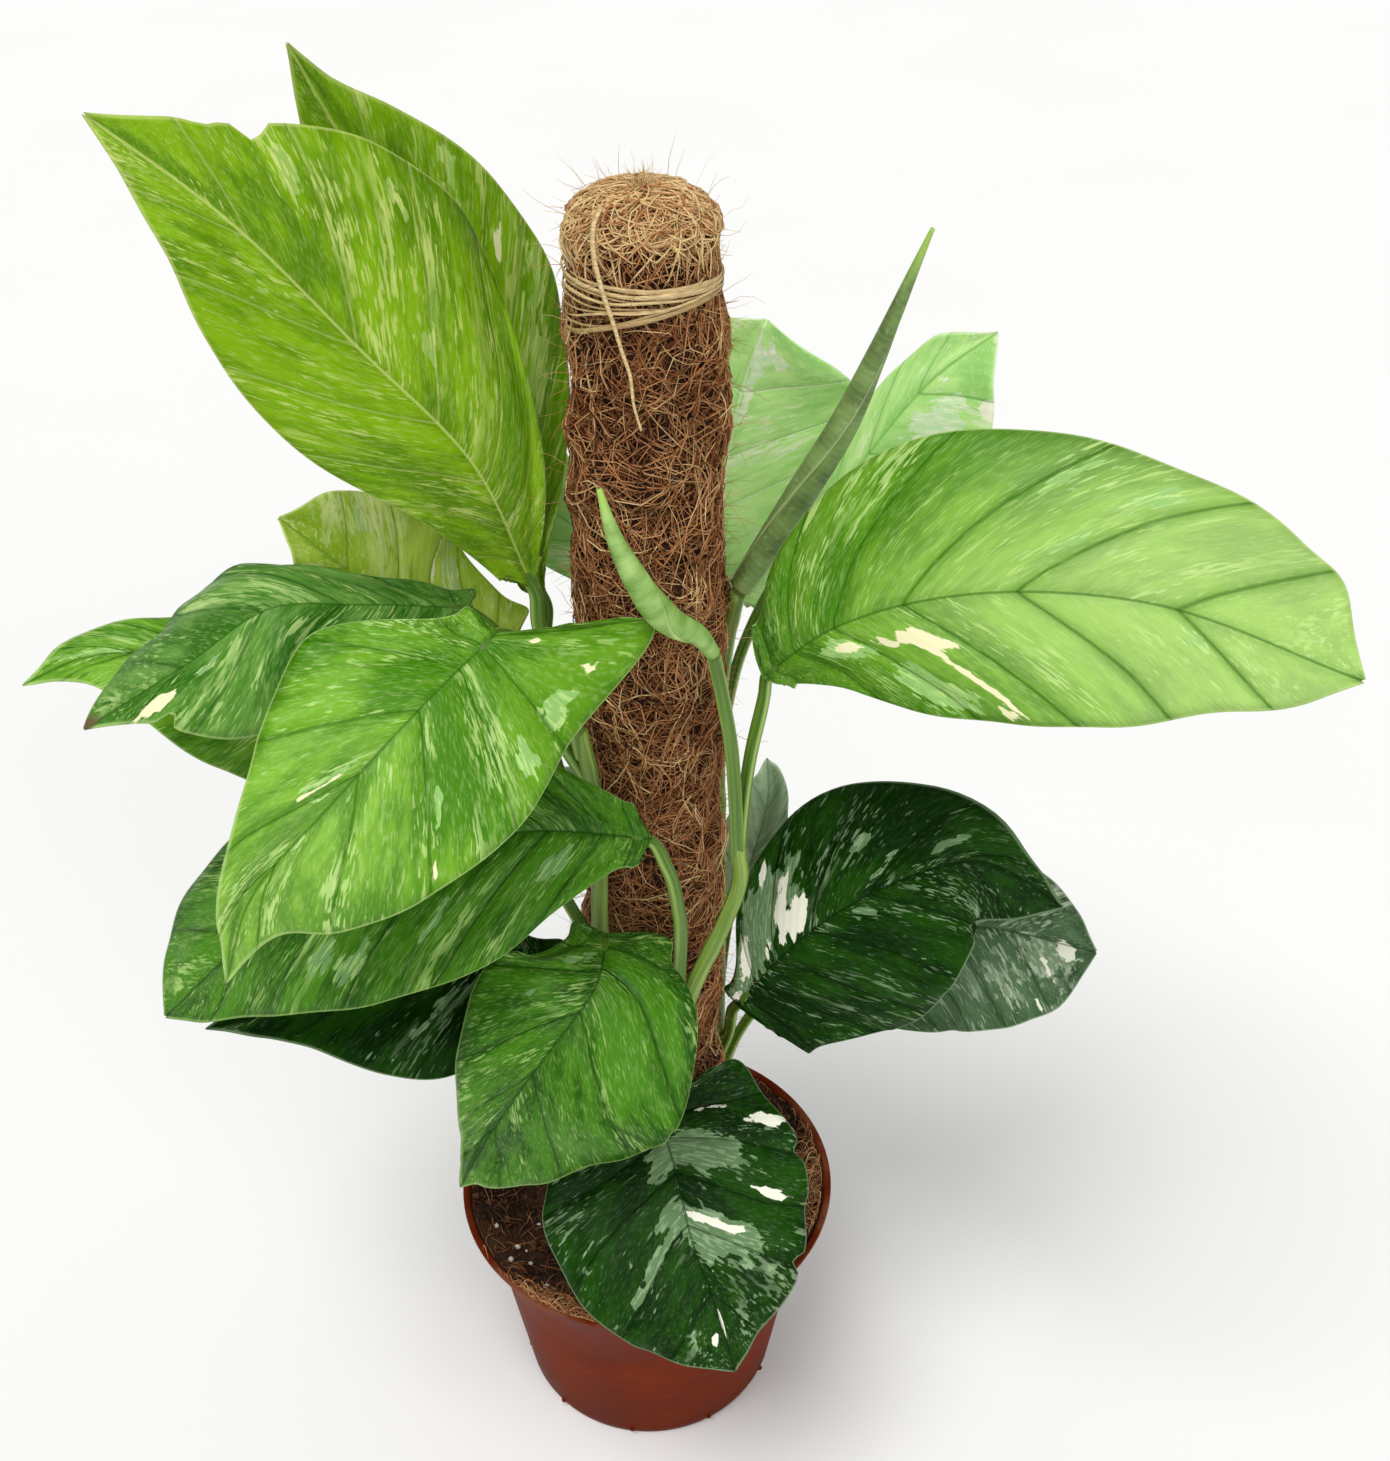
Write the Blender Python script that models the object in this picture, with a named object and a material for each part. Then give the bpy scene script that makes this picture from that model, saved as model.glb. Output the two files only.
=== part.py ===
"""A climbing monstera with speckled leaves, tied to a coir pole in a nursery pot.

Units are metres, +Z is up and the front faces -Y. The origin is the middle of the pot's foot.
Lists of points are in millimetres, which MM turns into metres.
"""

from math import cos, pi, radians, sin

import bmesh
import bpy
import numpy as np
from mathutils import Vector, noise

MM = 0.001
GAP = 0.0003

# Pot
POT_HEIGHT = 0.100
POT_RIM_RADIUS = 0.075
POT_FOOT_RADIUS = 0.0515
POT_FLARE_HEIGHT = 0.058
POT_FLARE_RADIUS = 0.0607
POT_WALL = 0.0013
POT_LIP = 0.0010
POT_LIP_HEIGHT = 0.0025
POT_LIP_BEVEL = 0.0006
POT_FOOT_BEVEL = 0.001
POT_FLOOR = 0.0035
POT_FLARE_STEPS = (0.070, 0.080, 0.089)
POT_FLARE_CURVE = 1.6
DRAIN_RADIUS = 0.004
DRAIN_CIRCLE = 0.034
DRAIN_COUNT = 6

# Soil: it is heaped up towards the front and a little to the right, outside a share of its radius
SOIL_LEVEL = 0.089
SOIL_LUMP = 0.0022
SOIL_LUMPS_ACROSS = 6.5
SOIL_HEAP = 0.008
SOIL_HEAP_TURN = radians(12)
SOIL_HEAP_FROM = 0.55
SOIL_EDGE_DROP = 0.001

# Pole: it is smooth in the soil, lumpy above it, narrows towards the top and ends in a low dome
POLE_X = 0.0045
POLE_Y = 0.0
POLE_FOOT = 0.014
POLE_TOP = 0.506
POLE_SHAFT_RADIUS = 0.0235
POLE_LUMP = 0.0016
POLE_LUMPS_PER_METRE = 70
POLE_LUMPS_ROUND = 1.6
POLE_LUMPY_FROM = 0.100
POLE_LUMPY_TO = 0.112
POLE_NARROW_FROM = 0.40
POLE_NARROW_TO = 0.47
POLE_NARROWING = 0.0024
POLE_DOME = 0.011
POLE_DOME_RINGS = ((0.94, 0.0066), (0.75, 0.0026), (0.4, 0.0006))

# Cord: the pole has a smooth seat under its turns
CORD_RADIUS = 0.0007
CORD_TURNS = 4
CORD_LOW = 0.472
CORD_HIGH = 0.491
CORD_SEAT_RADIUS = 0.0214
CORD_SEAT_MARGIN = 0.0035

# Holes for the pole and the stems are cut from the soil up to this height
BORE_TOP = 0.2

# Leaves: the lateral veins leave the midrib closer together near the stalk, and sweep to the tip
BLADE_THICKNESS = 0.0009
RIB_HEIGHT = 0.0013
RIB_TAPER = 0.85
BLADE_ROWS = 12
BLADE_COLUMNS = 8
VEIN_SPREAD = 1.7
VEIN_SWEEP = 1.25
MARGIN_WAVES = 3
RIGHT_WAVE_SHIFT = 1.7
STALK_TIP_RADIUS = 0.0011

# Share of the length and the width at each knot of a blade's outline, from stalk to tip
OUTLINE_KNOTS = np.array([0.0, 0.07, 0.16, 0.28, 0.42, 0.56, 0.70, 0.82, 0.91, 0.96, 1.0])
OUTLINE_ALONG = np.array([0.0, -0.40, -0.90, 0.07, 0.28, 0.50, 0.70, 0.84, 0.925, 0.965, 1.0])

# Each leaf: midrib points from stalk to tip, the way its upper side faces, half-widths at
# 7, 28, 50, 70, 84 and 93 % of its length on the left and on the right, how far the two lobes
# reach back, fold and droop of the two halves in degrees, the waves of its margin, and how far
# its stalk ends from it.
LEAVES = {
    "leaf_crown_front": dict(
        rib=[(-32, -5, 379), (-47, -18, 430), (-74, -28, 469), (-106, -36, 511), (-136, -40, 538)],
        face=(0.25, -0.88, 0.40), left=(10, 24, 33, 28, 16, 7), right=(7, 25, 48, 43, 22, 10),
        fold=(14, 8), droop=(20, 25), wave=1.0),
    "leaf_crown_back": dict(
        rib=[(-32, 30, 354), (-53, 34, 426), (-75, 30, 490), (-95, 20, 541)],
        face=(0.25, -0.88, 0.40), left=(10, 27, 33, 26, 12, 6), right=(5, 28, 41, 34, 18, 6),
        fold=(8, 10), droop=(25, 30), wave=1.5),
    "leaf_left_small": dict(
        rib=[(-44, 10, 346), (-76, 4, 362), (-93, 0, 384), (-110, -6, 405)],
        face=(0.3, -0.7, 0.65), left=(14, 22, 20, 16, 12, 7), right=(18, 30, 32, 27, 21, 14),
        lobes=(4, 4), fold=(20, 20), droop=(20, 20)),
    "leaf_left_middle": dict(
        rib=[(-51, -15, 378), (-83, -30, 388), (-106, -40, 393), (-133, -46, 377), (-168, -50, 355)],
        face=(0.0, -0.5, 0.87), left=(20, 34, 35, 27, 10, 4), right=(9, 18, 31, 34, 29, 17),
        lobes=(4, 4), fold=(-12, -12), droop=(30, 35), wave=1.5),
    "leaf_left_low": dict(
        rib=[(-68, 5, 330), (-132, 0, 346), (-181, -5, 353), (-202, -8, 344)],
        face=(0.1, -0.6, 0.8), left=(20, 38, 34, 20, 9, 4), right=(14, 22, 20, 13, 8, 4),
        lobes=(4, 4), fold=(5, 5), droop=(25, 30)),
    "leaf_front_left": dict(
        rib=[(-39, -50, 390), (-57, -72, 381), (-84, -95, 360), (-107, -108, 337), (-118, -112, 307)],
        face=(0.15, -0.7, 0.7), left=(38, 44, 39, 27, 10, 4), right=(18, 36, 29, 14, 7, 3),
        lobes=(42, 4), fold=(5, 10), droop=(20, 25), wave=2.0),
    "leaf_front_low_left": dict(
        rib=[(6, -46, 310), (-35, -58, 322), (-73, -62, 314), (-119, -58, 284), (-163, -50, 235)],
        face=(0.0, -0.6, 0.8), left=(12, 38, 40, 30, 18, 10), right=(13, 32, 37, 34, 28, 18),
        lobes=(2, 1), fold=(8, 8), droop=(30, 30), wave=1.0),
    "leaf_low_left": dict(
        rib=[(-29, -34, 243), (-82, -42, 248), (-152, -45, 225)],
        face=(-0.1, -0.55, 0.85), left=(16, 36, 33, 18, 9, 4), right=(12, 24, 28, 18, 10, 4),
        lobes=(4, 4), fold=(8, 8), droop=(25, 25), wave=1.0, seat=0.9),
    "leaf_front_low": dict(
        rib=[(-10, -45, 269), (-13, -70, 267), (-28, -84, 252), (-48, -80, 213), (-64, -70, 172)],
        face=(0.1, -0.75, 0.65), left=(25, 47, 45, 30, 17, 6), right=(20, 33, 24, 12, 6, 3),
        lobes=(8, 8), fold=(8, 10), droop=(25, 25), wave=1.0),
    "leaf_bottom_front": dict(
        rib=[(5, -45, 187), (12, -62, 175), (18, -80, 158), (27, -95, 138), (34, -104, 114)],
        face=(0.0, -0.65, 0.76), left=(38, 46, 43, 34, 16, 7), right=(42, 50, 46, 36, 26, 14),
        lobes=(16, 12), fold=(8, 8), droop=(25, 25), wave=2.0, seat=0.6),
    "leaf_right_low": dict(
        rib=[(35, -3, 197), (58, -5, 231), (88, -8, 259), (119, -14, 275), (149, -20, 259)],
        face=(-0.05, -0.7, 0.7), left=(9, 31, 40, 28, 10, 5), right=(30, 45, 44, 30, 21, 12),
        lobes=(0, 14), fold=(12, -4), droop=(25, 25), wave=1.0),
    "leaf_right_low_back": dict(
        rib=[(60, 20, 196), (120, 16, 220), (172, 10, 212)],
        face=(-0.05, -0.7, 0.7), left=(20, 34, 34, 28, 20, 12), right=(20, 36, 39, 38, 31, 21),
        lobes=(4, 4), fold=(8, 8), droop=(25, 25), wave=1.0),
    "leaf_right_big": dict(
        rib=[(41, -20, 355), (61, -32, 380), (93, -48, 401), (145, -66, 410), (208, -80, 392)],
        face=(-0.05, -0.8, 0.6), left=(22, 46, 48, 39, 31, 24), right=(10, 32, 38, 35, 22, 13),
        lobes=(6, 7), fold=(10, 0), droop=(25, 20), wave=1.5),
    "leaf_behind_pole": dict(
        rib=[(30, 45, 346), (30, 58, 386), (36, 60, 421), (43, 56, 445)],
        face=(0.0, -0.9, 0.42), left=(20, 36, 42, 42, 36, 22), right=(20, 38, 44, 43, 38, 27),
        lobes=(4, 4), fold=(6, 6), droop=(20, 20), wave=2.0),
    "leaf_back_right": dict(
        rib=[(51, 26, 372), (74, 32, 405), (97, 32, 436), (114, 28, 452)],
        face=(-0.2, -0.85, 0.45), left=(8, 14, 12, 11, 10, 5), right=(16, 30, 33, 30, 22, 11),
        fold=(6, 6), droop=(20, 20), seat=0.6),
    "leaf_back_left": dict(
        rib=[(8, 38, 352), (-28, 48, 378), (-62, 60, 400), (-88, 66, 395)],
        face=(0.1, -0.9, 0.42), left=(9, 16, 18, 14, 8, 4), right=(9, 15, 18, 14, 8, 4),
        lobes=(4, 4), fold=(8, 8), droop=(25, 25), wave=1.0),
    "leaf_back_small": dict(
        rib=[(34, 34, 212), (43, 38, 242), (47, 38, 266), (46, 35, 284)],
        face=(0.1, -0.9, 0.42), left=(9, 14, 14, 11, 7, 4), right=(8, 11, 10, 8, 6, 4),
        lobes=(2, 2), fold=(8, 8), droop=(20, 20)),
    "leaf_back_low": dict(
        rib=[(6, 42, 236), (-6, 70, 246), (-16, 98, 236), (-22, 122, 208)],
        face=(0.0, 0.35, 0.94), left=(18, 28, 28, 21, 11, 5), right=(18, 28, 28, 21, 11, 5),
        lobes=(5, 5), fold=(8, 8), droop=(25, 25), wave=1.0),
}

# Each stem: its radius and path, and the stalks that leave it: radius, path and the leaf that it
# holds, or none for a stalk that ends below a rolled leaf.
STEMS = {
    "vine_right": dict(
        radius=3.6,
        path=[(28, 16, 66), (28, 16, 160), (28, 17, 250), (28, 16, 325), (31, 10, 356), (33.6, 3.2, 373.1)],
        stalks=[
            (2.2, [(28, 16, 150), (33, 10, 172), (34, 6, 186)], "leaf_right_low"),
            (2.1, [(28, 17, 135), (38, 21, 162), (52, 24, 183)], "leaf_right_low_back"),
            (2.0, [(28, 17, 285), (29, 30, 312), (30, 45, 332)], "leaf_behind_pole"),
            (2.0, [(28, 16, 305), (36, 22, 340), (45, 25, 361)], "leaf_back_right"),
            (1.8, [(28, 17, 170), (30, 24, 190), (32, 33, 203)], "leaf_back_small"),
            (2.0, [(28, 17, 315), (22, 30, 336), (14, 36, 344)], "leaf_back_left"),
            (2.0, [(28, 17, 190), (20, 30, 212), (10, 38, 226)], "leaf_back_low"),
        ]),
    "vine_front": dict(
        radius=3.6,
        path=[(9, -31, 66), (11, -32, 160), (14, -33, 215), (21, -36, 243), (30, -29, 261),
              (35, -25, 276), (34, -24, 290)],
        stalks=[
            (2.1, [(34, -24, 283), (38, -21, 326), (42, -17, 346)], "leaf_right_big"),
            (2.3, [(34, -24, 282), (33, -27, 307), (31, -28, 335), (28, -30, 355), (25.2, -34.1, 372.2)],
             None),
            (2.2, [(13, -34, 195), (14, -38, 240), (14, -41, 275), (10, -44, 297)],
             "leaf_front_low_left"),
            (2.2, [(10, -32, 110), (7, -37, 145), (6, -39, 175)], "leaf_bottom_front"),
        ]),
    "vine_left": dict(
        radius=3.6,
        path=[(-16, -21, 66), (-16, -21, 160), (-14, -22, 250), (-14, -23, 310), (-18, -21, 335)],
        stalks=[
            (2.3, [(-18, -21, 327), (-26, -13, 350), (-31, -7, 368)], "leaf_crown_front"),
            (2.3, [(-15, -22, 290), (-27, -8, 310), (-32, 12, 330), (-32, 25, 344)], "leaf_crown_back"),
            (2.0, [(-15, -22, 280), (-30, -6, 308), (-38, 8, 334)], "leaf_left_small"),
            (2.1, [(-16, -22, 315), (-30, -18, 340), (-42, -12, 364)], "leaf_left_middle"),
            (2.1, [(-15, -22, 240), (-38, -8, 280), (-58, 5, 315)], "leaf_left_low"),
            (2.2, [(-18, -21, 325), (-22, -27, 355), (-32, -40, 380)], "leaf_front_left"),
            (2.0, [(-16, -21, 190), (-20, -24, 215), (-25, -29, 234)], "leaf_low_left"),
        ]),
    "vine_low": dict(
        radius=3.2,
        path=[(-7, -31, 66), (-7, -31, 140), (-8, -32, 210), (-9, -35, 240), (-9, -40, 259)],
        stalks=[
            (2.3, [(-8, -33, 225), (-9, -36, 245), (-9, -40, 259)], "leaf_front_low"),
        ]),
}

# Rolled young leaves: points from foot to tip, and the radius at each point
SPEARS = {
    "spear_tall": dict(
        path=[(34.2, 3, 374.6), (46, 4, 395), (54, 4, 410), (65, 4, 431), (74, 3, 455),
              (82, 0, 480), (87, -2, 495)],
        radii=(2.4, 3.8, 4.5, 4.9, 3.0, 1.6, 0.7)),
    "spear_small": dict(
        path=[(25, -34.5, 373), (20, -38, 382), (13, -41, 388), (3, -44, 403), (-4, -43, 418),
              (-8, -40, 432)],
        radii=(2.2, 3.4, 4.4, 3.4, 2.2, 0.8)),
}

# Colours are linear
POT_COLOUR = (0.20, 0.045, 0.022)
SOIL_COLOUR = (0.045, 0.026, 0.016)
COIR_COLOUR = (0.23, 0.095, 0.045)
CORD_COLOUR = (0.52, 0.38, 0.20)
STEM_COLOUR = (0.18, 0.26, 0.055)
SPEAR_COLOUR = (0.20, 0.34, 0.07)
LEAF_BRIGHT = (0.17, 0.33, 0.045)
LEAF_MIDDLE = (0.11, 0.25, 0.045)
LEAF_DARK = (0.035, 0.10, 0.03)
BRIGHT_LEAVES = ("leaf_crown_front", "leaf_crown_back", "leaf_left_small", "leaf_behind_pole",
                 "leaf_back_left")
DARK_LEAVES = ("leaf_front_low_left", "leaf_low_left", "leaf_bottom_front", "leaf_right_low",
               "leaf_right_low_back", "leaf_back_small", "leaf_back_low")


def unit(v):
    v = np.asarray(v, float)
    return v / np.linalg.norm(v, axis=-1, keepdims=True)


def smooth(knots, values, at):
    """Cubic curve through the values at the knots."""
    knots = np.asarray(knots, float)
    values = np.asarray(values, float)
    slope = np.gradient(values, knots)
    i = np.clip(np.searchsorted(knots, at, side="right") - 1, 0, len(knots) - 2)
    h = knots[i + 1] - knots[i]
    t = (at - knots[i]) / h
    return ((2 * t**3 - 3 * t**2 + 1) * values[i] + (t**3 - 2 * t**2 + t) * h * slope[i]
            + (3 * t**2 - 2 * t**3) * values[i + 1] + (t**3 - t**2) * h * slope[i + 1])


def path_points(points, count):
    """Evenly spread points on a smooth curve through the points, in metres."""
    points = np.array(points, float) * MM
    chord = np.concatenate([[0], np.cumsum(np.linalg.norm(np.diff(points, axis=0), axis=1))])
    at = np.linspace(0, chord[-1], count)
    return np.stack([smooth(chord, points[:, k], at) for k in range(3)], -1)


class Blade:
    """The curved upper surface of a leaf, as a function of its lateral veins."""

    def __init__(self, rib, face, left, right, lobes=(0, 0), fold=(8, 8), droop=(20, 20), wave=0.0, seat=1.2):
        self.face = unit(face)
        self.left = np.array(left) * MM
        self.right = np.array(right) * MM
        self.lobes = np.array(lobes) * MM
        self.fold = np.radians(fold)
        self.droop = np.radians(droop)
        self.wave = wave * MM
        self.seat = seat * MM
        self.rib = path_points(rib, 101)
        steps = np.linalg.norm(np.diff(self.rib, axis=0), axis=1)
        self.along = np.concatenate([[0], np.cumsum(steps)])
        self.length = self.along[-1]
        self.tangent = unit(np.gradient(self.rib, axis=0))

    def frame(self, x):
        """Position, tangent, upward normal and right-hand direction at a length along the midrib."""
        inside = np.clip(x, 0, self.length)
        place = np.stack([np.interp(inside, self.along, self.rib[:, k]) for k in range(3)], -1)
        tangent = unit(np.stack([np.interp(inside, self.along, self.tangent[:, k]) for k in range(3)], -1))
        place = place + tangent * (x - inside)[..., None]
        normal = unit(self.face - (self.face * tangent).sum(-1, keepdims=True) * tangent)
        return place, tangent, normal, np.cross(tangent, normal)

    def outline(self, widths, lobe, s):
        """Length along the midrib and half-width of one margin."""
        along = np.where(OUTLINE_ALONG < 0, OUTLINE_ALONG * lobe, OUTLINE_ALONG * self.length)
        across = [0, 0.36 * widths[0], 0.84 * widths[0], *widths, 0.45 * widths[-1], 0]
        return smooth(OUTLINE_KNOTS, along, s), np.maximum(0, smooth(OUTLINE_KNOTS, across, s))

    def top(self, s, v):
        """The upper surface: s runs from stalk to tip, v from the left margin to the right margin."""
        s, v = np.broadcast_arrays(np.asarray(s, float), np.asarray(v, float))
        reach = np.abs(v)
        is_left = v < 0
        left_along, left_half = self.outline(self.left, self.lobes[0], s)
        right_along, right_half = self.outline(self.right, self.lobes[1], s)
        margin = np.where(is_left, left_along, right_along)
        half = np.where(is_left, left_half, right_half)
        share = half / np.where(is_left, self.left.max(), self.right.max())
        start = s**VEIN_SPREAD * self.length
        place, _, normal, right = self.frame(start + (margin - start) * reach**VEIN_SWEEP)
        fold = np.where(is_left, self.fold[0], self.fold[1])
        droop = np.where(is_left, self.droop[0], self.droop[1])
        angle = fold * (0.7 + 0.5 * s) - droop * share * reach / 2
        out = reach * half
        shift = np.where(is_left, 0.0, RIGHT_WAVE_SHIFT)
        wave = self.wave * np.sin(2 * pi * MARGIN_WAVES * s + shift) * reach**2
        lift = out * np.sin(angle) + wave * np.minimum(1, 1.5 * share)
        return place + right * (np.sign(v) * out * np.cos(angle))[..., None] + normal * lift[..., None]

    def solid(self, rows, columns):
        """A closed blade as vertices and triangles, alike on both faces."""
        s = np.linspace(0, 1, rows + 1)[:, None]
        v = np.linspace(-1, 1, columns + 1)[None, :]
        top = self.top(s, v)
        normal = np.cross(np.gradient(top, axis=1), np.gradient(top, axis=0))
        normal[0] = unit(normal[1].mean(0))
        normal[-1] = unit(normal[-2].mean(0))
        depth = BLADE_THICKNESS + RIB_HEIGHT * (1 - RIB_TAPER * s) * (np.abs(v) < 1e-9)
        bottom = top - unit(normal) * depth[..., None]
        middle = columns // 2
        ends = [top[0, middle], bottom[0, middle], top[-1, middle], bottom[-1, middle]]
        vertices = np.vstack([top[1:-1].reshape(-1, 3), bottom[1:-1].reshape(-1, 3), ends])
        size = (rows - 1) * (columns + 1)

        def up(i, j):
            return (i - 1) * (columns + 1) + j

        def down(i, j):
            return size + up(i, j)

        foot_top, foot_bottom, tip_top, tip_bottom = range(2 * size, 2 * size + 4)
        last = rows - 1
        faces = []
        for i in range(1, last):
            for j in range(columns):
                if j >= middle:
                    splits = [(i, j), (i, j + 1), (i + 1, j + 1)], [(i, j), (i + 1, j + 1), (i + 1, j)]
                else:
                    splits = [(i, j), (i, j + 1), (i + 1, j)], [(i, j + 1), (i + 1, j + 1), (i + 1, j)]
                for corners in splits:
                    faces.append([up(*c) for c in corners])
                    faces.append([down(*c) for c in reversed(corners)])
            faces += [(up(i, 0), up(i + 1, 0), down(i + 1, 0)), (up(i, 0), down(i + 1, 0), down(i, 0))]
            faces += [(up(i, columns), down(i + 1, columns), up(i + 1, columns)),
                      (up(i, columns), down(i, columns), down(i + 1, columns))]
        for j in range(columns):
            faces += [(foot_top, up(1, j + 1), up(1, j)), (foot_bottom, down(1, j), down(1, j + 1))]
            faces += [(tip_top, up(last, j), up(last, j + 1)), (tip_bottom, down(last, j + 1), down(last, j))]
        faces += [(foot_top, up(1, 0), down(1, 0)), (foot_top, down(1, 0), foot_bottom)]
        faces += [(foot_bottom, down(1, columns), up(1, columns)), (foot_top, foot_bottom, up(1, columns))]
        faces += [(tip_top, down(last, 0), up(last, 0)), (tip_top, tip_bottom, down(last, 0))]
        faces += [(tip_bottom, up(last, columns), down(last, columns)),
                  (tip_top, up(last, columns), tip_bottom)]
        return vertices, faces


def tube(points, radii, sides, profile=None):
    """A closed tube along the points. The profile scales the radius round the section."""
    points = np.asarray(points, float)
    tangent = unit(np.gradient(points, axis=0))
    side = unit(np.cross(tangent[0], (0.31, 0.87, 0.39)))
    vertices = []
    for p, t, r in zip(points, tangent, radii):
        side = unit(side - (side @ t) * t)
        other = np.cross(t, side)
        for k in range(sides):
            a = 2 * pi * k / sides
            scale = profile[k] if profile else 1.0
            vertices.append(p + (side * cos(a) + other * sin(a)) * r * scale)
    rings = len(points)
    faces = []
    for i in range(rings - 1):
        for k in range(sides):
            n = (k + 1) % sides
            faces.append((i * sides + k, i * sides + n, (i + 1) * sides + n, (i + 1) * sides + k))
    faces.append([k for k in reversed(range(sides))])
    faces.append([(rings - 1) * sides + k for k in range(sides)])
    return vertices, faces


def lathe(profile, sides, centre=(0.0, 0.0)):
    """A closed solid of revolution. The profile is radius and height, first and last on the axis."""
    vertices = [(centre[0], centre[1], profile[0][1])]
    for r, z in profile[1:-1]:
        for k in range(sides):
            a = 2 * pi * k / sides
            vertices.append((centre[0] + r * cos(a), centre[1] + r * sin(a), z))
    vertices.append((centre[0], centre[1], profile[-1][1]))
    rings = len(profile) - 2
    last = len(vertices) - 1
    faces = []
    for k in range(sides):
        n = (k + 1) % sides
        faces.append((0, 1 + n, 1 + k))
        for i in range(rings - 1):
            low = 1 + i * sides
            faces.append((low + k, low + n, low + sides + n, low + sides + k))
        high = 1 + (rings - 1) * sides
        faces.append((high + k, high + n, last))
    return vertices, faces


def colour(obj, name, rgb, roughness):
    material = bpy.data.materials.new(name)
    material.use_nodes = True
    shader = material.node_tree.nodes["Principled BSDF"]
    shader.inputs["Base Color"].default_value = (*rgb, 1.0)
    shader.inputs["Roughness"].default_value = roughness
    shader.inputs["Metallic"].default_value = 0.0
    material.diffuse_color = (*rgb, 1.0)
    obj.data.materials.clear()
    obj.data.materials.append(material)


def add(name, vertices, faces):
    mesh = bpy.data.meshes.new(name)
    mesh.from_pydata([tuple(map(float, p)) for p in vertices], [], [list(map(int, f)) for f in faces])
    editable = bmesh.new()
    editable.from_mesh(mesh)
    bmesh.ops.recalc_face_normals(editable, faces=editable.faces)
    if editable.calc_volume(signed=True) < 0:
        bmesh.ops.reverse_faces(editable, faces=editable.faces)
    editable.to_mesh(mesh)
    editable.free()
    mesh.shade_smooth()
    mesh.set_sharp_from_angle(angle=radians(50))
    obj = bpy.data.objects.new(name, mesh)
    bpy.context.scene.collection.objects.link(obj)
    return obj


def combine(target, parts, operation):
    """Join or cut the target with all the parts at once, and remove the parts."""
    group = bpy.data.collections.new("parts")
    bpy.context.scene.collection.children.link(group)
    for part in parts:
        bpy.context.scene.collection.objects.unlink(part)
        group.objects.link(part)
    modifier = target.modifiers.new("combine", "BOOLEAN")
    modifier.operation = operation
    modifier.operand_type = "COLLECTION"
    modifier.collection = group
    modifier.solver = "EXACT"
    bpy.context.view_layer.objects.active = target
    bpy.ops.object.modifier_apply(modifier=modifier.name)
    for part in parts:
        bpy.data.objects.remove(part)
    bpy.data.collections.remove(group)


def pole_radius(angle, z):
    """The lumpy surface of the coir, drawn in where the cord holds it."""
    if z < POLE_LUMPY_FROM:
        return POLE_SHAFT_RADIUS
    if CORD_LOW - CORD_SEAT_MARGIN - GAP < z < CORD_HIGH + CORD_SEAT_MARGIN + GAP:
        return CORD_SEAT_RADIUS
    grow = min(1.0, (z - POLE_LUMPY_FROM) / (POLE_LUMPY_TO - POLE_LUMPY_FROM))
    narrow = min(1.0, max(0.0, z - POLE_NARROW_FROM) / (POLE_NARROW_TO - POLE_NARROW_FROM))
    spot = Vector((POLE_LUMPS_ROUND * cos(angle), POLE_LUMPS_ROUND * sin(angle), z * POLE_LUMPS_PER_METRE))
    lump = noise.noise(spot) + 0.5 * noise.noise(spot * 2.3 + Vector((7, 3, 1)))
    return POLE_SHAFT_RADIUS - POLE_NARROWING * narrow + POLE_LUMP * lump * grow


def coir_profile_heights():
    low = [POLE_FOOT, POLE_LUMPY_FROM - 0.001]
    shaft = list(np.linspace(POLE_LUMPY_TO, CORD_LOW - CORD_SEAT_MARGIN - 0.002, 34))
    band = [CORD_LOW - CORD_SEAT_MARGIN, CORD_HIGH + CORD_SEAT_MARGIN]
    return low + shaft + band + [POLE_TOP - POLE_DOME]


def build_pole():
    sides = 28
    heights = coir_profile_heights()
    vertices = [(POLE_X, POLE_Y, POLE_FOOT)]
    for z in heights:
        for k in range(sides):
            a = 2 * pi * k / sides
            r = pole_radius(a, z)
            vertices.append((POLE_X + r * cos(a), POLE_Y + r * sin(a), z))
    for share, drop in POLE_DOME_RINGS:
        for k in range(sides):
            a = 2 * pi * k / sides
            r = share * pole_radius(a, POLE_TOP - POLE_DOME)
            vertices.append((POLE_X + r * cos(a), POLE_Y + r * sin(a), POLE_TOP - drop))
    vertices.append((POLE_X, POLE_Y, POLE_TOP))
    rings = len(heights) + len(POLE_DOME_RINGS)
    faces = []
    for k in range(sides):
        n = (k + 1) % sides
        faces.append((0, 1 + n, 1 + k))
        for i in range(rings - 1):
            low = 1 + i * sides
            a, b, c, d = low + k, low + n, low + sides + n, low + sides + k
            faces += [(a, b, c), (a, c, d)]
        faces.append((1 + (rings - 1) * sides + k, 1 + (rings - 1) * sides + n, len(vertices) - 1))
    pole = add("coir_pole", vertices, faces)
    colour(pole, "coir", COIR_COLOUR, 0.95)


def build_cord():
    """Turns round the top of the pole, begun on the dome and left hanging at the front."""
    reach = CORD_SEAT_RADIUS + 2 * GAP + CORD_RADIUS
    first_turn_from = radians(-112)
    first_turn_height = CORD_HIGH + 0.001
    begun = [(-6.5, -13.8, 503.9), (-8, -19, 500.8), (-8, -21.6, 496)]
    tail = [(-1, -23.4, 469), (1, -25.3, 463), (2, -25.9, 454), (4, -26.2, 444)]
    points = [np.array(p) * MM for p in begun]
    per_turn = 20
    steps = per_turn * CORD_TURNS
    for i in range(1, steps + 1):
        a = first_turn_from + 2 * pi * i / per_turn
        z = first_turn_height - (CORD_HIGH - CORD_LOW) * i / steps
        points.append(np.array((POLE_X + reach * cos(a), POLE_Y + reach * sin(a), z)))
    points += [np.array(p) * MM for p in tail]
    vertices, faces = tube(points, [CORD_RADIUS] * len(points), 5)
    cord = add("cord", vertices, faces)
    colour(cord, "cord", CORD_COLOUR, 0.9)


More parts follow.
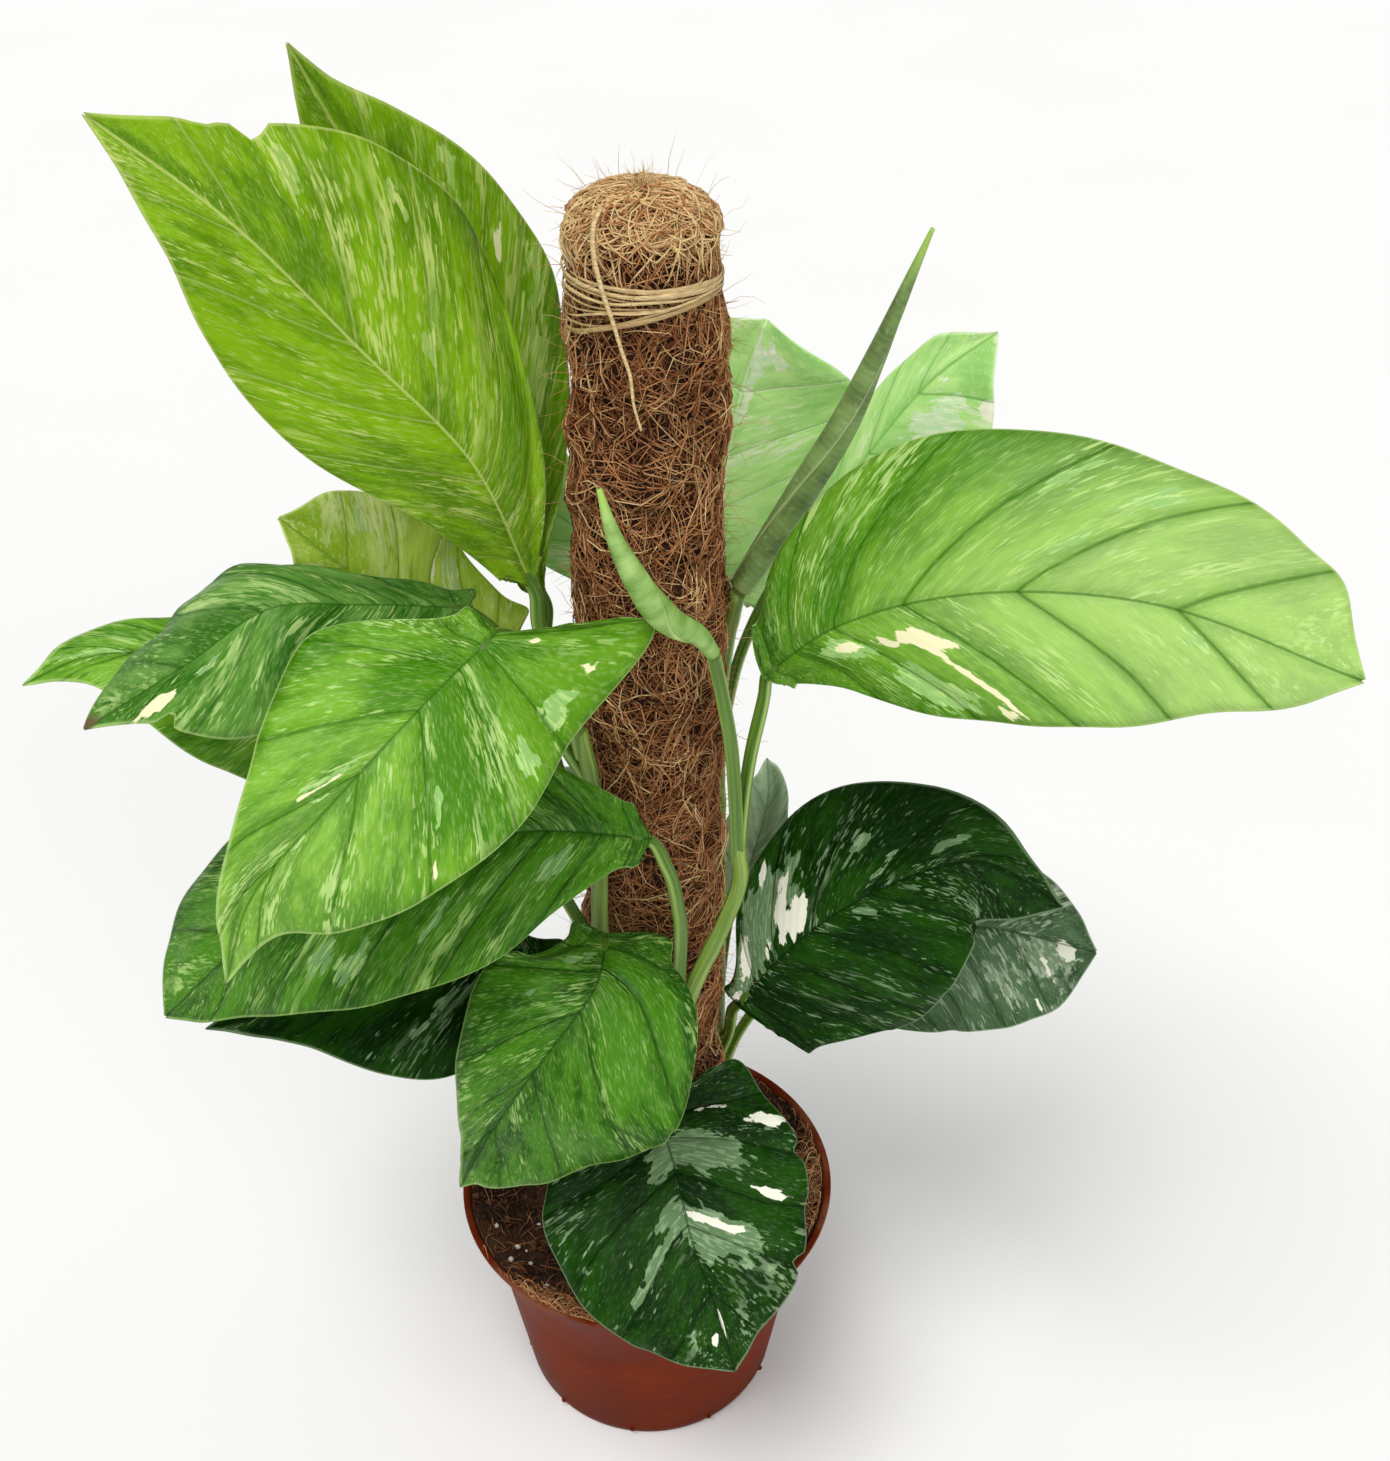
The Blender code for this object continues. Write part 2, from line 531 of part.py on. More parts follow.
def pot_outside(z):
    """The wall leans out evenly from the foot, then flares to the rim."""
    lean = (POT_FLARE_RADIUS - POT_FOOT_RADIUS) / POT_FLARE_HEIGHT
    if z <= POT_FLARE_HEIGHT:
        return POT_FOOT_RADIUS + lean * z
    share = (z - POT_FLARE_HEIGHT) / (POT_HEIGHT - POT_FLARE_HEIGHT)
    reach = POT_RIM_RADIUS - POT_LIP - POT_FLARE_RADIUS
    rise = lean * (POT_HEIGHT - POT_FLARE_HEIGHT)
    return POT_FLARE_RADIUS + rise * share + (reach - rise) * share**POT_FLARE_CURVE


def build_pot():
    sides = 44
    lip = POT_HEIGHT - POT_LIP_HEIGHT
    flare = [POT_FLARE_HEIGHT, *POT_FLARE_STEPS, lip]
    profile = [(0.0, 0.0), (POT_FOOT_RADIUS - POT_FOOT_BEVEL, 0.0)]
    profile += [(pot_outside(z), z) for z in [POT_FOOT_BEVEL] + flare]
    profile += [
        (POT_RIM_RADIUS, lip + POT_LIP_BEVEL),
        (POT_RIM_RADIUS, POT_HEIGHT - POT_LIP_BEVEL),
        (POT_RIM_RADIUS - POT_LIP_BEVEL, POT_HEIGHT),
        (pot_outside(POT_HEIGHT) - POT_WALL, POT_HEIGHT),
    ]
    profile += [(pot_outside(z) - POT_WALL, z) for z in reversed([POT_FLOOR] + flare)]
    profile.append((0.0, POT_FLOOR))
    pot = add("pot", *lathe(profile, sides))
    holes = []
    for k in range(DRAIN_COUNT):
        a = 2 * pi * (k + 0.5) / DRAIN_COUNT
        centre = (DRAIN_CIRCLE * cos(a), DRAIN_CIRCLE * sin(a))
        below, above = -2 * POT_FLOOR, 2 * POT_FLOOR
        profile = [(0, below), (DRAIN_RADIUS, below), (DRAIN_RADIUS, above), (0, above)]
        holes.append(add("hole", *lathe(profile, 16, centre)))
    combine(pot, holes, "DIFFERENCE")
    colour(pot, "pot", POT_COLOUR, 0.55)


def build_soil():
    """The soil fills the pot and is heaped towards the front, with holes for the pole and stems."""
    sides = 40

    def inner(z):
        return pot_outside(z) - POT_WALL - 2 * GAP

    low = POT_FLOOR + GAP
    walls = [low, POT_FLARE_HEIGHT, *POT_FLARE_STEPS[:2]]
    shares = (1.0, 0.93, 0.84, 0.75, 0.66, 0.57, 0.40)
    vertices = [(0, 0, low)]
    for z in walls:
        for k in range(sides):
            a = 2 * pi * k / sides
            vertices.append((inner(z) * cos(a), inner(z) * sin(a), z))
    for share in shares:
        for k in range(sides):
            a = 2 * pi * k / sides
            towards_front = max(0.0, cos(a + pi / 2 + SOIL_HEAP_TURN))
            heap = SOIL_HEAP * towards_front**2 * max(0.0, share - SOIL_HEAP_FROM) / (1 - SOIL_HEAP_FROM)
            spot = Vector((cos(a), sin(a), 0)) * share * SOIL_LUMPS_ACROSS
            at_an_end = share in (shares[0], shares[-1])
            lump = SOIL_LUMP * noise.noise(spot) * (0.3 if at_an_end else 1.0)
            z = SOIL_LEVEL + heap + lump
            if share == shares[0]:
                z = min(z, POT_HEIGHT - SOIL_EDGE_DROP) - SOIL_EDGE_DROP
            r = share * inner(z)
            vertices.append((r * cos(a), r * sin(a), z))
    vertices.append((0, 0, SOIL_LEVEL))
    rings = len(shares) + len(walls)
    faces = []
    for k in range(sides):
        n = (k + 1) % sides
        faces.append((0, 1 + n, 1 + k))
        for i in range(rings - 1):
            base = 1 + i * sides
            a, b, c, d = base + k, base + n, base + sides + n, base + sides + k
            faces += [(a, b, c), (a, c, d)]
        faces.append((1 + (rings - 1) * sides + k, 1 + (rings - 1) * sides + n, len(vertices) - 1))
    soil = add("soil", vertices, faces)
    cutters = []
    bore = POLE_SHAFT_RADIUS + GAP
    profile = [(0, POLE_FOOT - GAP), (bore, POLE_FOOT - GAP), (bore, BORE_TOP), (0, BORE_TOP)]
    cutters.append(add("bore", *lathe(profile, 28, (POLE_X, POLE_Y))))
    for stem in STEMS.values():
        x, y, z = (c * MM for c in stem["path"][0])
        bore = stem["radius"] * MM + GAP
        profile = [(0, z - GAP), (bore, z - GAP), (bore, BORE_TOP), (0, BORE_TOP)]
        cutters.append(add("bore", *lathe(profile, 16, (x, y))))
    combine(soil, cutters, "DIFFERENCE")
    colour(soil, "soil", SOIL_COLOUR, 0.95)


def stalk_end(leaf):
    """Where a stalk stops: just below the blade, or just behind a blade that has no lobes."""
    blade = Blade(**LEAVES[leaf])
    place, tangent, normal, _ = blade.frame(np.array(0.0))
    depth = BLADE_THICKNESS + RIB_HEIGHT
    if max(LEAVES[leaf].get("lobes", (0, 0))) > 0:
        return place - normal * (depth + GAP + blade.seat)
    return place - normal * depth / 2 - tangent * blade.seat


def build_stems():
    """Vines that stand upright in the soil, each joined to the stalks that leave it."""
    rings = 20
    rings_in_soil = 4
    stalk_rings = 9
    for name, stem in STEMS.items():
        radius = stem["radius"] * MM
        foot_x, foot_y, _ = stem["path"][0]
        straight = [stem["path"][0], (foot_x, foot_y, SOIL_LEVEL / MM + 7)]
        points = path_points(straight + stem["path"][1:], rings)
        radii = radius * np.linspace(1, 0.75, rings)
        points[:rings_in_soil, :2] = points[0, :2]
        radii[:rings_in_soil] = radius
        vine = add(name, *tube(points, radii, 8))
        stalks = []
        for width, path, leaf in stem["stalks"]:
            end = [tuple(stalk_end(leaf) / MM)] if leaf else []
            curve = path_points(list(path) + end, stalk_rings)
            widths = np.full(stalk_rings, width * MM)
            if leaf:
                widths[-2:] = (0.8 * width * MM, STALK_TIP_RADIUS)
            stalks.append(add("stalk", *tube(curve, widths, 6)))
        combine(vine, stalks, "UNION")
        colour(vine, name, STEM_COLOUR, 0.5)


def build_leaves():
    for name, leaf in LEAVES.items():
        blade = add(name, *Blade(**leaf).solid(BLADE_ROWS, BLADE_COLUMNS))
        rgb = LEAF_MIDDLE
        if name in BRIGHT_LEAVES:
            rgb = LEAF_BRIGHT
        if name in DARK_LEAVES:
            rgb = LEAF_DARK
        colour(blade, name, rgb, 0.4)


def build_spears():
    """Rolled leaves, with the edge of the roll standing out along one side."""
    rings = 14
    roll = [1.0, 1.02, 1.04, 1.07, 1.1, 1.13, 1.16, 0.98]
    for name, spear in SPEARS.items():
        points = path_points(spear["path"], rings)
        knots = np.linspace(0, 1, len(spear["radii"]))
        radii = smooth(knots, np.array(spear["radii"]) * MM, np.linspace(0, 1, rings))
        obj = add(name, *tube(points, radii, len(roll), roll))
        colour(obj, name, SPEAR_COLOUR, 0.45)


def main():
    for obj in list(bpy.data.objects):
        bpy.data.objects.remove(obj)
    build_pot()
    build_soil()
    build_pole()
    build_cord()
    build_stems()
    build_leaves()
    build_spears()


main()
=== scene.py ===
"""The looks of a climbing monstera with speckled leaves, tied to a coir pole in a nursery pot.

Units are metres, +Z is up and the front faces -Y. Lists of points are in millimetres, which MM
turns into metres. Sizes and paths that the CAD model also has are repeated from its source.
"""

from math import cos, pi, radians, sin

import bpy
import numpy as np
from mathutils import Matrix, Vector, noise


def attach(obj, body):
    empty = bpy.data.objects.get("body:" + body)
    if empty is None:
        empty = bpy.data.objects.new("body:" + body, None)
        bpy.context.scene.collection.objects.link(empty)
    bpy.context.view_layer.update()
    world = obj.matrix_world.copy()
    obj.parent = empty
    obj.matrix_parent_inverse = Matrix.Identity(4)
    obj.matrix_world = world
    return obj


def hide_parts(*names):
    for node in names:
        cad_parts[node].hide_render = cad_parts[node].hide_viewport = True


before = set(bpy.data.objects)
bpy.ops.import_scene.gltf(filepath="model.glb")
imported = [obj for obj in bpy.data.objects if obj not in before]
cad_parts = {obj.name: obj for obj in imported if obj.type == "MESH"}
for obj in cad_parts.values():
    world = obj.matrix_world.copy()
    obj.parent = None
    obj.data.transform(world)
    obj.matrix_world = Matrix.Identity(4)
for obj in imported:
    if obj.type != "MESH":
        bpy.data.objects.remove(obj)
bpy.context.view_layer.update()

MM = 0.001

# Pot
POT_HEIGHT = 0.100
POT_RIM_RADIUS = 0.075
POT_FOOT_RADIUS = 0.0515
POT_FLARE_HEIGHT = 0.058
POT_FLARE_RADIUS = 0.0607
POT_WALL = 0.0013
POT_LIP = 0.0010
POT_LIP_HEIGHT = 0.0025
POT_LIP_BEVEL = 0.0006
POT_FLOOR = 0.0035
POT_FLARE_CURVE = 1.6
DRAIN_RADIUS = 0.004
DRAIN_CIRCLE = 0.034
DRAIN_COUNT = 6
DRAIN_SIDES = 32
POT_SIDES = 160
NUB_COUNT = 10
NUB_RADIUS = 0.0011
NUB_HEIGHT = 0.004

# Soil
SOIL_LEVEL = 0.089
SOIL_LUMP = 0.0022
SOIL_LUMPS_ACROSS = 6.5
SOIL_HEAP = 0.008
SOIL_HEAP_TURN = radians(12)
SOIL_HEAP_FROM = 0.55
SOIL_BANK = 0.0095
SOIL_BED_DEPTH = 0.012
SOIL_WALL_GAP = 0.0003
SOIL_RINGS = 80
SOIL_SIDES = 240
SOIL_CRUMBS = 600
SOIL_FIBRES = 1500
PERLITE_GRAINS = 46

# Pole
POLE_X = 0.0045
POLE_TOP = 0.506
POLE_SHAFT_RADIUS = 0.0235
POLE_LUMP = 0.0016
POLE_LUMPS_PER_METRE = 70
POLE_LUMPS_ROUND = 1.6
POLE_LUMPY_FROM = 0.100
POLE_LUMPY_TO = 0.112
POLE_NARROW_FROM = 0.40
POLE_NARROW_TO = 0.47
POLE_NARROWING = 0.0024
POLE_DOME = 0.011
TUFTS_PER_METRE = 46
TUFT_HEIGHT = 0.0030
COIR_FIBRES = 8600
COIR_FIBRE_LENGTHS = (0.014, 0.042)
COIR_FIBRE_RADII = (0.00015, 0.00030)
COIR_FIBRE_LIFTS = (0.0001, 0.0015)
COIR_TOP_FIBRES = 1000
COIR_HAIRS = 2400
FIBRE_POINTS = 6
FIBRE_SIDES = 3
HAIR_POINTS = 5

# Cord
CORD_LOW = 0.472
CORD_HIGH = 0.491
CORD_SEAT_RADIUS = 0.0214
CORD_STRANDS = 9

# Leaves
BLADE_THICKNESS = 0.0005
RIB_HEIGHT = 0.0013
RIB_TAPER = 0.85
RIB_WIDTH = 0.0012
BLADE_ROWS = 78
BLADE_COLUMNS = 34
VEIN_SPREAD = 2.5
VEIN_SWEEP = 1.1
MARGIN_WAVES = 3
RIGHT_WAVE_SHIFT = 1.7

# Stems, stalks and rolled leaves
STEM_POINTS = 90
STALK_POINTS = 60
STEM_SIDES = 18
SPEAR_RINGS = 140
SPEAR_SIDES = 40

# Camera and lights
CAMERA_LENS = 44.35
CAMERA_SENSOR = 36.0
CAMERA_PLACE = (0.0195, -0.504, 0.667)
CAMERA_TILT_DOWN = radians(34.5)
WORLD_STRENGTH = 0.42
FLOOR_REACH = 4.0

# Share of the length and the width at each knot of a blade's outline, from stalk to tip
OUTLINE_KNOTS = np.array([0.0, 0.07, 0.16, 0.28, 0.42, 0.56, 0.70, 0.82, 0.91, 0.96, 1.0])
OUTLINE_ALONG = np.array([0.0, -0.40, -0.90, 0.07, 0.28, 0.50, 0.70, 0.84, 0.925, 0.965, 1.0])

# Each leaf: midrib points from stalk to tip, the way its upper side faces, half-widths at
# 7, 28, 50, 70, 84 and 93 % of its length on the left and on the right, how far the two lobes
# reach back, fold and droop of the two halves in degrees, the waves of its margin, and how far
# its stalk ends from it.
LEAVES = {
    "leaf_crown_front": dict(
        rib=[(-32, -5, 379), (-47, -18, 430), (-74, -28, 469), (-106, -36, 511), (-136, -40, 538)],
        face=(0.25, -0.88, 0.40), left=(10, 24, 33, 28, 16, 7), right=(7, 25, 48, 43, 22, 10),
        fold=(14, 8), droop=(20, 25), wave=1.0),
    "leaf_crown_back": dict(
        rib=[(-32, 30, 354), (-53, 34, 426), (-75, 30, 490), (-95, 20, 541)],
        face=(0.25, -0.88, 0.40), left=(10, 27, 33, 26, 12, 6), right=(5, 28, 41, 34, 18, 6),
        fold=(8, 10), droop=(25, 30), wave=1.5),
    "leaf_left_small": dict(
        rib=[(-44, 10, 346), (-76, 4, 362), (-93, 0, 384), (-110, -6, 405)],
        face=(0.3, -0.7, 0.65), left=(14, 22, 20, 16, 12, 7), right=(18, 30, 32, 27, 21, 14),
        lobes=(4, 4), fold=(20, 20), droop=(20, 20)),
    "leaf_left_middle": dict(
        rib=[(-51, -15, 378), (-83, -30, 388), (-106, -40, 393), (-133, -46, 377), (-168, -50, 355)],
        face=(0.0, -0.5, 0.87), left=(20, 34, 35, 27, 10, 4), right=(9, 18, 31, 34, 29, 17),
        lobes=(4, 4), fold=(-12, -12), droop=(30, 35), wave=1.5),
    "leaf_left_low": dict(
        rib=[(-68, 5, 330), (-132, 0, 346), (-181, -5, 353), (-202, -8, 344)],
        face=(0.1, -0.6, 0.8), left=(20, 38, 34, 20, 9, 4), right=(14, 22, 20, 13, 8, 4),
        lobes=(4, 4), fold=(5, 5), droop=(25, 30)),
    "leaf_front_left": dict(
        rib=[(-39, -50, 390), (-57, -72, 381), (-84, -95, 360), (-107, -108, 337), (-118, -112, 307)],
        face=(0.15, -0.7, 0.7), left=(38, 44, 39, 27, 10, 4), right=(18, 36, 29, 14, 7, 3),
        lobes=(42, 4), fold=(5, 10), droop=(20, 25), wave=2.0),
    "leaf_front_low_left": dict(
        rib=[(6, -46, 310), (-35, -58, 322), (-73, -62, 314), (-119, -58, 284), (-163, -50, 235)],
        face=(0.0, -0.6, 0.8), left=(12, 38, 40, 30, 18, 10), right=(13, 32, 37, 34, 28, 18),
        lobes=(2, 1), fold=(8, 8), droop=(30, 30), wave=1.0),
    "leaf_low_left": dict(
        rib=[(-29, -34, 243), (-82, -42, 248), (-152, -45, 225)],
        face=(-0.1, -0.55, 0.85), left=(16, 36, 33, 18, 9, 4), right=(12, 24, 28, 18, 10, 4),
        lobes=(4, 4), fold=(8, 8), droop=(25, 25), wave=1.0, seat=0.9),
    "leaf_front_low": dict(
        rib=[(-10, -45, 269), (-13, -70, 267), (-28, -84, 252), (-48, -80, 213), (-64, -70, 172)],
        face=(0.1, -0.75, 0.65), left=(25, 47, 45, 30, 17, 6), right=(20, 33, 24, 12, 6, 3),
        lobes=(8, 8), fold=(8, 10), droop=(25, 25), wave=1.0),
    "leaf_bottom_front": dict(
        rib=[(5, -45, 187), (12, -62, 175), (18, -80, 158), (27, -95, 138), (34, -104, 114)],
        face=(0.0, -0.65, 0.76), left=(38, 46, 43, 34, 16, 7), right=(42, 50, 46, 36, 26, 14),
        lobes=(16, 12), fold=(8, 8), droop=(25, 25), wave=2.0, seat=0.6),
    "leaf_right_low": dict(
        rib=[(35, -3, 197), (58, -5, 231), (88, -8, 259), (119, -14, 275), (149, -20, 259)],
        face=(-0.05, -0.7, 0.7), left=(9, 31, 40, 28, 10, 5), right=(30, 45, 44, 30, 21, 12),
        lobes=(0, 14), fold=(12, -4), droop=(25, 25), wave=1.0),
    "leaf_right_low_back": dict(
        rib=[(60, 20, 196), (120, 16, 220), (172, 10, 212)],
        face=(-0.05, -0.7, 0.7), left=(20, 34, 34, 28, 20, 12), right=(20, 36, 39, 38, 31, 21),
        lobes=(4, 4), fold=(8, 8), droop=(25, 25), wave=1.0),
    "leaf_right_big": dict(
        rib=[(41, -20, 355), (61, -32, 380), (93, -48, 401), (145, -66, 410), (208, -80, 392)],
        face=(-0.05, -0.8, 0.6), left=(22, 46, 48, 39, 31, 24), right=(10, 32, 38, 35, 22, 13),
        lobes=(6, 7), fold=(10, 0), droop=(25, 20), wave=1.5),
    "leaf_behind_pole": dict(
        rib=[(30, 45, 346), (30, 58, 386), (36, 60, 421), (43, 56, 445)],
        face=(0.0, -0.9, 0.42), left=(20, 36, 42, 42, 36, 22), right=(20, 38, 44, 43, 38, 27),
        lobes=(4, 4), fold=(6, 6), droop=(20, 20), wave=2.0),
    "leaf_back_right": dict(
        rib=[(51, 26, 372), (74, 32, 405), (97, 32, 436), (114, 28, 452)],
        face=(-0.2, -0.85, 0.45), left=(8, 14, 12, 11, 10, 5), right=(16, 30, 33, 30, 22, 11),
        fold=(6, 6), droop=(20, 20), seat=0.6),
    "leaf_back_left": dict(
        rib=[(8, 38, 352), (-28, 48, 378), (-62, 60, 400), (-88, 66, 395)],
        face=(0.1, -0.9, 0.42), left=(9, 16, 18, 14, 8, 4), right=(9, 15, 18, 14, 8, 4),
        lobes=(4, 4), fold=(8, 8), droop=(25, 25), wave=1.0),
    "leaf_back_small": dict(
        rib=[(34, 34, 212), (43, 38, 242), (47, 38, 266), (46, 35, 284)],
        face=(0.1, -0.9, 0.42), left=(9, 14, 14, 11, 7, 4), right=(8, 11, 10, 8, 6, 4),
        lobes=(2, 2), fold=(8, 8), droop=(20, 20)),
    "leaf_back_low": dict(
        rib=[(6, 42, 236), (-6, 70, 246), (-16, 98, 236), (-22, 122, 208)],
        face=(0.0, 0.35, 0.94), left=(18, 28, 28, 21, 11, 5), right=(18, 28, 28, 21, 11, 5),
        lobes=(5, 5), fold=(8, 8), droop=(25, 25), wave=1.0),
}

# Each stem: its radius and path, and the stalks that leave it: radius, path and the leaf that it
# holds, or none for a stalk that ends below a rolled leaf.
STEMS = {
    "vine_right": dict(
        radius=3.6,
        path=[(28, 16, 66), (28, 16, 160), (28, 17, 250), (28, 16, 325), (31, 10, 356), (33.6, 3.2, 373.1)],
        stalks=[
            (2.2, [(28, 16, 150), (33, 10, 172), (34, 6, 186)], "leaf_right_low"),
            (2.1, [(28, 17, 135), (38, 21, 162), (52, 24, 183)], "leaf_right_low_back"),
            (2.0, [(28, 17, 285), (29, 30, 312), (30, 45, 332)], "leaf_behind_pole"),
            (2.0, [(28, 16, 305), (36, 22, 340), (45, 25, 361)], "leaf_back_right"),
            (1.8, [(28, 17, 170), (30, 24, 190), (32, 33, 203)], "leaf_back_small"),
            (2.0, [(28, 17, 315), (22, 30, 336), (14, 36, 344)], "leaf_back_left"),
            (2.0, [(28, 17, 190), (20, 30, 212), (10, 38, 226)], "leaf_back_low"),
        ]),
    "vine_front": dict(
        radius=3.6,
        path=[(9, -31, 66), (11, -32, 160), (14, -33, 215), (21, -36, 243), (30, -29, 261),
              (35, -25, 276), (34, -24, 290)],
        stalks=[
            (2.1, [(34, -24, 283), (38, -21, 326), (42, -17, 346)], "leaf_right_big"),
            (2.3, [(34, -24, 282), (33, -27, 307), (31, -28, 335), (28, -30, 355), (25.2, -34.1, 372.2)],
             None),
            (2.2, [(13, -34, 195), (14, -38, 240), (14, -41, 275), (10, -44, 297)],
             "leaf_front_low_left"),
            (2.2, [(10, -32, 110), (7, -37, 145), (6, -39, 175)], "leaf_bottom_front"),
        ]),
    "vine_left": dict(
        radius=3.6,
        path=[(-16, -21, 66), (-16, -21, 160), (-14, -22, 250), (-14, -23, 310), (-18, -21, 335)],
        stalks=[
            (2.3, [(-18, -21, 327), (-26, -13, 350), (-31, -7, 368)], "leaf_crown_front"),
            (2.3, [(-15, -22, 290), (-27, -8, 310), (-32, 12, 330), (-32, 25, 344)], "leaf_crown_back"),
            (2.0, [(-15, -22, 280), (-30, -6, 308), (-38, 8, 334)], "leaf_left_small"),
            (2.1, [(-16, -22, 315), (-30, -18, 340), (-42, -12, 364)], "leaf_left_middle"),
            (2.1, [(-15, -22, 240), (-38, -8, 280), (-58, 5, 315)], "leaf_left_low"),
            (2.2, [(-18, -21, 325), (-22, -27, 355), (-32, -40, 380)], "leaf_front_left"),
            (2.0, [(-16, -21, 190), (-20, -24, 215), (-25, -29, 234)], "leaf_low_left"),
        ]),
    "vine_low": dict(
        radius=3.2,
        path=[(-7, -31, 66), (-7, -31, 140), (-8, -32, 210), (-9, -35, 240), (-9, -40, 259)],
        stalks=[
            (2.3, [(-8, -33, 225), (-9, -36, 245), (-9, -40, 259)], "leaf_front_low"),
        ]),
}

# Rolled young leaves: points from foot to tip, the radius at each point, and turns of the roll
SPEARS = {
    "spear_tall": dict(
        path=[(34.2, 3, 374.6), (46, 4, 395), (54, 4, 410), (65, 4, 431), (74, 3, 455),
              (82, 0, 480), (87, -2, 495)],
        radii=(3.4, 4.3, 4.5, 4.2, 3.1, 1.8, 0.6), turns=0.6, hue=0.0),
    "spear_small": dict(
        path=[(25, -34.5, 373), (20, -38, 382), (13, -41, 388), (3, -44, 403), (-4, -43, 418),
              (-8, -40, 432)],
        radii=(2.2, 3.4, 4.4, 3.4, 2.2, 0.8), turns=1.1, hue=1.0),
}

# Leaf greens: shade, body, the pale green of the flecks, the grey green of the patches, cream,
# and the lines of the veins, which also serves as the painted shade at the stalk
CROWN = ("#5c8c00", "#8aba08", "#dcea88", "#a6c866", "#f8f7c8", "#4a7600")
LIME = ("#9cc22c", "#cae65a", "#ecf4a8", "#b8d488", "#fbfad0", "#7fa81c")
FRESH = ("#468600", "#7eba2a", "#cfee94", "#9ccc76", "#fdf7ca", "#2a6000")
SOFT = ("#2f6c0c", "#659a3c", "#c4e48c", "#90b878", "#fdf7ca", "#235806")
LIGHT = ("#a8e47c", "#d0fc9c", "#f8ffdc", "#dcf6ca", "#fefee4", "#84c45e")
MIDDLE = ("#1e5200", "#468210", "#b0d478", "#74a062", "#faf4c4", "#0f3800")
DEEP = ("#062800", "#1b4602", "#98b488", "#6c8c60", "#f8f7e4", "#041c00")
SLATE = ("#2f4f28", "#53734c", "#c0d0b4", "#849c78", "#f8f7e4", "#274420")
ASHEN = ("#8cac80", "#b4d0a6", "#e0ecd4", "#ccdcc0", "#f8f7e4", "#6c8c60")
